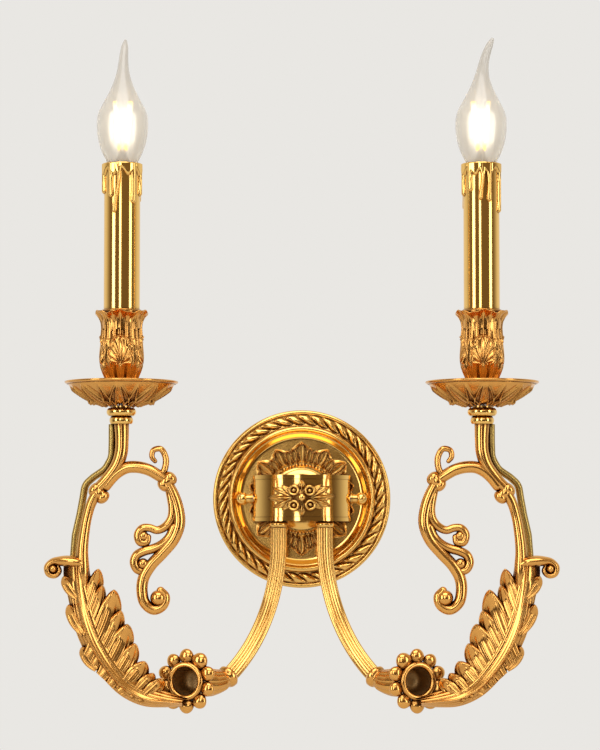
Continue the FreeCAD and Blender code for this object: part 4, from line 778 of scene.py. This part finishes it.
def cup_relief(turn, radius, height):
    """Adds the shells, the leaf ribs and the lips of the rim."""
    share = 2 * pi / SHELL_NUMBER
    off = (turn + share / 2) % share - share / 2
    x = off * CUP_WAIST
    z = height - SHELL_LEVEL
    fan_radius = np.sqrt((x * 1.5) ** 2 + z ** 2)
    fan_angle = np.arctan2(x * 1.3, z + 7)
    upper = ease((z + 9) / 3)
    beyond = 1 - ease((11.6 - fan_radius) / 1.6) * upper
    shell = (1 - beyond) * (0.5 + 0.55 * np.cos(fan_angle * 13 + 0.25 * z))
    shell_edge = 1.1 * np.exp(-((fan_radius - SHELL_REACH) / 0.8) ** 2) * upper
    sway = 2.0 * np.sin(z / 9.0) * np.sign(off) * (1 - np.exp(-(off / 0.2) ** 2))
    ribs = (0.95 + 0.5 * (1 - ease((height - 76) / 12))) * np.cos(x * 1.15 + sway) * beyond
    fine = 0.35 * np.cos(x * 2.9 + 1.7 * sway) * beyond
    rise = ease((height - 69) / 5) * (1 - ease((height - 120) / 4))
    lips = np.cos(turn * RIM_LIPS + 0.5 * np.sin(turn * 2 + 1))
    tip = ease((height - 117) / 6)
    step = 0.7 * ease((height - 98) / 4) * (1 - ease((height - 104) / 3))
    step = step * (1 - ease((0.4 - abs(off)) / 0.1))
    out = 0.8 * rise * (shell + shell_edge + ribs + fine) + step + tip * (0.2 + 0.6 * lips)
    return out, tip * (0.9 * lips + 0.35 * np.cos(turn * 17)) - 0.3


CUP_COLUMNS = 420


def cup():
    run = through([(radius, level, 0) for radius, level in CUP], 190)
    outside = turned(run[:, :2], CUP_COLUMNS, cup_relief)
    edge = outside[-1]
    axis = np.array([CANDLE_X, CANDLE_Y, 0])
    inner = []
    for shrink, drop in ((0.975, 0.35), (0.9, -0.2), (0.8, -1.6), (0.74, -4.0), (0.72, -12.0)):
        row = axis + (edge - axis) * (shrink, shrink, 0)
        row[:, 2] = edge[:, 2] + drop
        inner.append(row)
    collar = turned([(13.3, 117.0), (13.5, 123.4), (13.6, 125.4), (13.2, 125.9), (12.6, 125.7),
                     (12.5, 122.0)], CUP_COLUMNS)
    return [(np.concatenate([outside, np.stack(inner)]), True), (collar, True)]


make_pair("candle_cup_acanthus", cup(), cast_brass, "sconce", ["candle_cup_*"])


# Candle tubes and drips ------------------------------------------------------------------------
# Drawn tube of mirror-polished brass that stands for a candle, with a cap whose runs and drops
# look like melted wax.

SLEEVE_RADIUS, SLEEVE_BOTTOM, SLEEVE_TOP = 12.25, 89.2, 224.4
CAP_TOP, CAP_BAND, CAP_REACH, DRIP_REACH = 225.3, 7.0, 12.1, 13.2
# runs on the cap: angle from the room outward, length, half width, sideways drift
DRIPS = {"left": ((-75, 22.6, 1.7, 0), (-40, 28.0, 1.9, 0), (14, 34.5, 1.3, -7), (33, 24.0, 1.7, 0),
                  (74, 21.0, 1.9, 0), (118, 30.0, 1.8, 0), (160, 23.5, 1.8, 0), (200, 32.0, 1.8, 0),
                  (240, 26.0, 1.8, 0)),
         "right": ((-75, 22.6, 1.9, 0), (-40, 20.0, 1.9, 0), (-2, 26.0, 1.3, 4), (22, 27.0, 1.6, 0),
                   (66, 34.0, 1.7, 0), (112, 24.0, 1.8, 0), (160, 27.5, 1.8, 0), (200, 22.0, 1.8, 0),
                   (240, 31.0, 1.8, 0))}

sleeve_profile = [(11.4, SLEEVE_BOTTOM + 0.2), (12.0, SLEEVE_BOTTOM),
                  (SLEEVE_RADIUS, SLEEVE_BOTTOM + 0.3)]
sleeve_profile += [(SLEEVE_RADIUS, level) for level in np.linspace(90, 223, 30)]
sleeve_profile += [(SLEEVE_RADIUS, 224.0), (12.0, SLEEVE_TOP), (11.65, 224.0), (11.65, 180.0)]
make_pair("candle_sleeve_drawn", [(turned(sleeve_profile, 160), True)], polished_brass, "candle_*",
          ["candle_sleeve_*"])


def drip_skin(runs, sign):
    """Cap with its runs: a wavy band below the top, and a drop at the foot of each run."""
    level, angle = net(np.linspace(SLEEVE_TOP, CAP_TOP - 37, 240),
                       np.linspace(-180, 180, 480, endpoint=False))
    fall = CAP_TOP - level
    band = CAP_BAND - 2.2 * np.cos(np.radians(angle * 8))
    body = 1.75 * np.sqrt(np.clip((band - fall) / 2.2, 0, 1))
    for spot, length, half, drift in runs:
        centre = spot + drift * np.sin(np.clip(fall / length, 0, 1) * pi * 1.5)
        across = ((angle - centre + 180) % 360 - 180) * pi / 180 * DRIP_REACH
        swell = half * (0.94 + 0.32 * ease((fall - length + 9) / 6))
        end = np.clip((length - fall) / swell, 0, None)
        cut = np.where(end < 1, np.sqrt(np.clip(1 - (1 - end) ** 2, 0, 1)), 1)
        inside = np.clip(1 - (across / np.maximum(swell * cut, 0.05)) ** 2, 0, 1)
        foot = np.exp(-np.clip(fall - CAP_BAND + 2, 0, None) / 3) * 1.4
        wide = np.clip(1 - (across / (swell + foot)) ** 2, 0, 1) * (fall < 13)
        body = np.maximum(body, 2.0 * cut * np.sqrt(np.maximum(inside, wide * 0.92)))
    reach = CAP_REACH + body
    turn = np.radians(angle)
    x = CANDLE_X * sign - sign * reach * np.sin(turn)
    skin = np.stack([x, CANDLE_Y - reach * np.cos(turn), level], -1)
    edge = [(13.75, 225.0), (13.2, CAP_TOP), (12.4, CAP_TOP), (11.6, 225.0), (11.0, 224.4),
            (10.9, 221.0)]
    turn = turn[0]
    rows = [np.stack([CANDLE_X * sign - sign * r * np.sin(turn), CANDLE_Y - r * np.cos(turn),
                      np.full_like(turn, h)], -1) for r, h in edge[::-1]]
    return np.concatenate([np.stack(rows), skin])


for side, sign in (("left", 1), ("right", -1)):
    make_piece("drip_cap_melted_" + side, [(drip_skin(DRIPS[side], sign), True)], polished_brass,
               "candle_" + side, ["drip_cap_" + side])


# Bulbs -----------------------------------------------------------------------------------------
# Lit candle bulb with a bent tip, blown in thin glass with a pearly coat. The glass has a painted
# glow for the filaments' light in its coat: faint all over, whitest round the filaments. The screw
# cap is nickel.

BULB_BASE = 219.5
# heights in metres of the brightest painted glow on the glass and of the rods' middle
GLOW_LEVEL, ROD_LEVEL = 0.251, 0.252


def height_from(tree, place, level):
    """Distance above or below a level, in metres."""
    axes = add(tree, "SeparateXYZ", {0: place})
    z = add(tree, "Math", {0: axes.outputs["Z"], 1: level}, operation="SUBTRACT")
    return add(tree, "Math", {0: z.outputs[0]}, operation="ABSOLUTE").outputs[0]


def pearly_glass():
    material, tree = new_material("pearly_blown_glass")
    place = add(tree, "TexCoord").outputs["Object"]
    # painted glow: the glass gives its own light, brightest at the filaments' height and where one
    # looks straight through it at them
    far = height_from(tree, place, GLOW_LEVEL)
    tall = add(tree, "MapRange", {"Value": far, "From Min": 0.010, "From Max": 0.021,
                                  "To Min": 1.0, "To Max": 0.0}, interpolation_type="SMOOTHERSTEP")
    turned_away = add(tree, "LayerWeight", {"Blend": 0.5})
    wide = add(tree, "MapRange", {"Value": turned_away.outputs["Facing"], "From Min": 0.02,
                                  "From Max": 0.24, "To Min": 1.0, "To Max": 0.0},
               interpolation_type="SMOOTHERSTEP")
    glow = add(tree, "Math", {0: tall.outputs[0], 1: wide.outputs[0]}, operation="MULTIPLY")
    cloud = add(tree, "TexNoise", {"Vector": place, "Scale": 60.0, "Detail": 1.0})
    coat = add(tree, "MapRange", {"Value": cloud.outputs["Fac"], "To Min": 0.42, "To Max": 0.54})
    strength = add(tree, "Math", {0: glow.outputs[0], 1: 0.5, 2: 0.02}, operation="MULTIPLY_ADD")
    glass = add(tree, "BsdfPrincipled", {
        "Base Color": linear("DEDBD5"), "Roughness": 0.16, "IOR": 1.3,
        "Transmission Weight": coat.outputs[0], "Coat Weight": 0.6, "Coat Roughness": 0.04,
        "Emission Color": linear("FFF3D6"), "Emission Strength": strength.outputs[0]})
    add(tree, "OutputMaterial", {"Surface": glass.outputs[0]})
    return material


def lit_filament():
    material, tree = new_material("lit_phosphor_filament")
    place = add(tree, "TexCoord").outputs["Object"]
    # the ends of the rods glow yellow, and their middle white
    far = height_from(tree, place, ROD_LEVEL)
    end = add(tree, "MapRange", {"Value": far, "From Min": 0.008, "From Max": 0.014})
    colour = add(tree, "Mix", {0: end.outputs[0], 6: linear("FFF7E0"), 7: linear("FFC23A")},
                 data_type="RGBA")
    glow = add(tree, "Emission", {"Color": colour.outputs[2], "Strength": 4.0})
    add(tree, "OutputMaterial", {"Surface": glow.outputs[0]})
    return material


blown_glass = pearly_glass()
filament = lit_filament()
nickel = plated_steel("rolled_nickel", "CFCBC2", 0.2)
finish_node(filament, *both("bulb_filaments"))
finish_node(blown_glass, *both("bulb_stem"))
finish_node(nickel, *both("bulb_cap"))

BULB = ((0, 7.6, 0), (0.056, 9.9, 0), (0.152, 14.175, 0), (0.25, 16.71, 0), (0.345, 17.5, 0),
        (0.43, 16.71, 0), (0.53, 12.25, 0.02), (0.62, 8.1, 0.04), (0.72, 4.9, 0.1),
        (0.81, 3.5, 0.24), (0.89, 2.9, 0.48), (0.955, 2.2, 0.76), (0.992, 1.1, 0.96))
BULB_LENGTH, TIP_BEND = 92.0, 8.5


def bulb_glass(x, bend_x, bend_y):
    run = through([(TIP_BEND * drift, 0, BULB_LENGTH * up, radius) for up, radius, drift in BULB], 90)
    line = np.stack([x + run[:, 0] * bend_x, CANDLE_Y + run[:, 0] * bend_y,
                     BULB_BASE + 0.4 + run[:, 2]], -1)
    outer = swept(line, run[:, 3], TO_ROOM, 72, None, False)
    tip = outer[-1].mean(0)
    cap = [tip + (outer[-1] - tip) * math.cos(k) + (0, 0, 0.7 * math.sin(k))
           for k in np.linspace(0.3, 1.5, 5)]
    return np.concatenate([outer, np.stack(cap)])


for side, x, bend_x, bend_y in (("left", CANDLE_X, 0.16, 0.98), ("right", -CANDLE_X, 1.0, 0.0)):
    make_piece("bulb_glass_blown_" + side, [(bulb_glass(x, bend_x, bend_y), True)], blown_glass,
               "bulb_" + side, ["bulb_glass_" + side])


# Studio ----------------------------------------------------------------------------------------
# Pale floor below the light, tall soft lamps to both sides and above, and a room that is pale
# behind the light and darker behind the camera.

FLOOR_LEVEL, FLOOR_RINGS, FLOOR_COLUMNS = -420.0, (1.0, 400.0, 800.0, 1300.0), 96


def studio_floor():
    turn = circle(FLOOR_COLUMNS)
    rows = [np.stack([r * np.cos(turn), r * np.sin(turn), np.full_like(turn, FLOOR_LEVEL)], -1)
            for r in FLOOR_RINGS]
    grid = np.stack(rows) / 1000
    faces = faces_of(len(FLOOR_RINGS), FLOOR_COLUMNS, True, 0)
    mesh = bpy.data.meshes.new("studio_floor")
    mesh.from_pydata(grid.reshape(-1, 3).tolist(), [], faces.tolist())
    material, tree = new_material("pale_floor_paint")
    place = add(tree, "TexCoord").outputs["Object"]
    mottle = add(tree, "TexNoise", {"Vector": place, "Scale": 3.0, "Detail": 2.0})
    colour = add(tree, "Mix", {0: mottle.outputs["Fac"], 6: linear("DAD8D4"), 7: linear("DEDCD8")},
                 data_type="RGBA")
    shader = add(tree, "BsdfPrincipled", {"Base Color": colour.outputs[2], "Roughness": 0.85})
    add(tree, "OutputMaterial", {"Surface": shader.outputs[0]})
    mesh.materials.append(material)
    floor = bpy.data.objects.new("studio_floor", mesh)
    bpy.context.collection.objects.link(floor)


# lamps, in metres: name, place, level aimed at, width, height, brightness
LAMPS = (("left_tall", (-2.1, -1.7, 0.5), 0.08, 0.8, 2.2, 4.0),
         ("right_tall", (2.2, -1.5, 0.4), 0.08, 0.7, 2.2, 3.6),
         ("front_strip", (-0.5, -2.9, 0.7), 0.08, 0.55, 1.8, 3.8),
         ("top", (0, -1.3, 2.2), 0.08, 2.2, 1.4, 3.0),
         ("front_high", (0.2, -2.7, 1.35), 0.08, 1.8, 0.7, 1.3),
         ("low_left", (-1.4, -2.0, -1.0), 0.0, 0.7, 0.6, 1.8),
         ("low_right", (1.4, -2.1, -0.9), 0.0, 0.5, 0.6, 1.4))


def lamp(name, place, level, width, height, radiance):
    """Soft lamp whose face has a given brightness, where 1 is the white of the picture."""
    data = bpy.data.lights.new(name, "AREA")
    data.shape = "RECTANGLE"
    data.size, data.size_y = width, height
    data.energy = radiance * width * height * pi
    light = bpy.data.objects.new(name, data)
    bpy.context.collection.objects.link(light)
    light.location = place
    way = np.array((0, 0, level)) - np.array(place)
    light.rotation_euler = (math.atan2(math.hypot(way[0], way[1]), -way[2]), 0,
                            math.atan2(way[0], -way[1]) + pi)
    light.visible_camera = False


studio_floor()
for spot in LAMPS:
    lamp(*spot)

world = bpy.data.worlds.new("studio_room")
bpy.context.scene.world = world
world.use_nodes = True
room = world.node_tree
room.nodes.clear()
way = add(room, "SeparateXYZ", {0: add(room, "TexCoord").outputs["Generated"]})
behind = add(room, "MapRange", {"Value": way.outputs["Y"], "From Min": -0.35, "From Max": 0.6},
             interpolation_type="SMOOTHSTEP")
above = add(room, "MapRange", {"Value": way.outputs["Z"], "From Min": -0.25, "From Max": 0.55},
            interpolation_type="SMOOTHSTEP")
shade = add(room, "Mix", {0: above.outputs[0], 6: linear("43342A"), 7: linear("A08A6A")},
            data_type="RGBA")
tone = add(room, "Mix", {0: behind.outputs[0], 6: shade.outputs[2], 7: linear("E9E7E3")},
           data_type="RGBA")
backdrop = add(room, "Background", {"Color": tone.outputs[2], "Strength": 1.0})
add(room, "OutputWorld", {"Surface": backdrop.outputs[0]})

# camera, in metres and degrees: in front of the wall, a little below the plate, and tilted up
CAMERA_PLACE, CAMERA_TILT, CAMERA_LENS = (-0.0012, -2.0, -0.041), 3.68, 136.0
camera_data = bpy.data.cameras.new("camera")
camera_data.lens = CAMERA_LENS
camera_data.clip_end = 50.0
camera = bpy.data.objects.new("camera", camera_data)
bpy.context.collection.objects.link(camera)
camera.location = CAMERA_PLACE
camera.rotation_euler = (math.radians(90 + CAMERA_TILT), 0, 0)
bpy.context.scene.camera = camera
bpy.context.scene.view_settings.view_transform = "Standard"
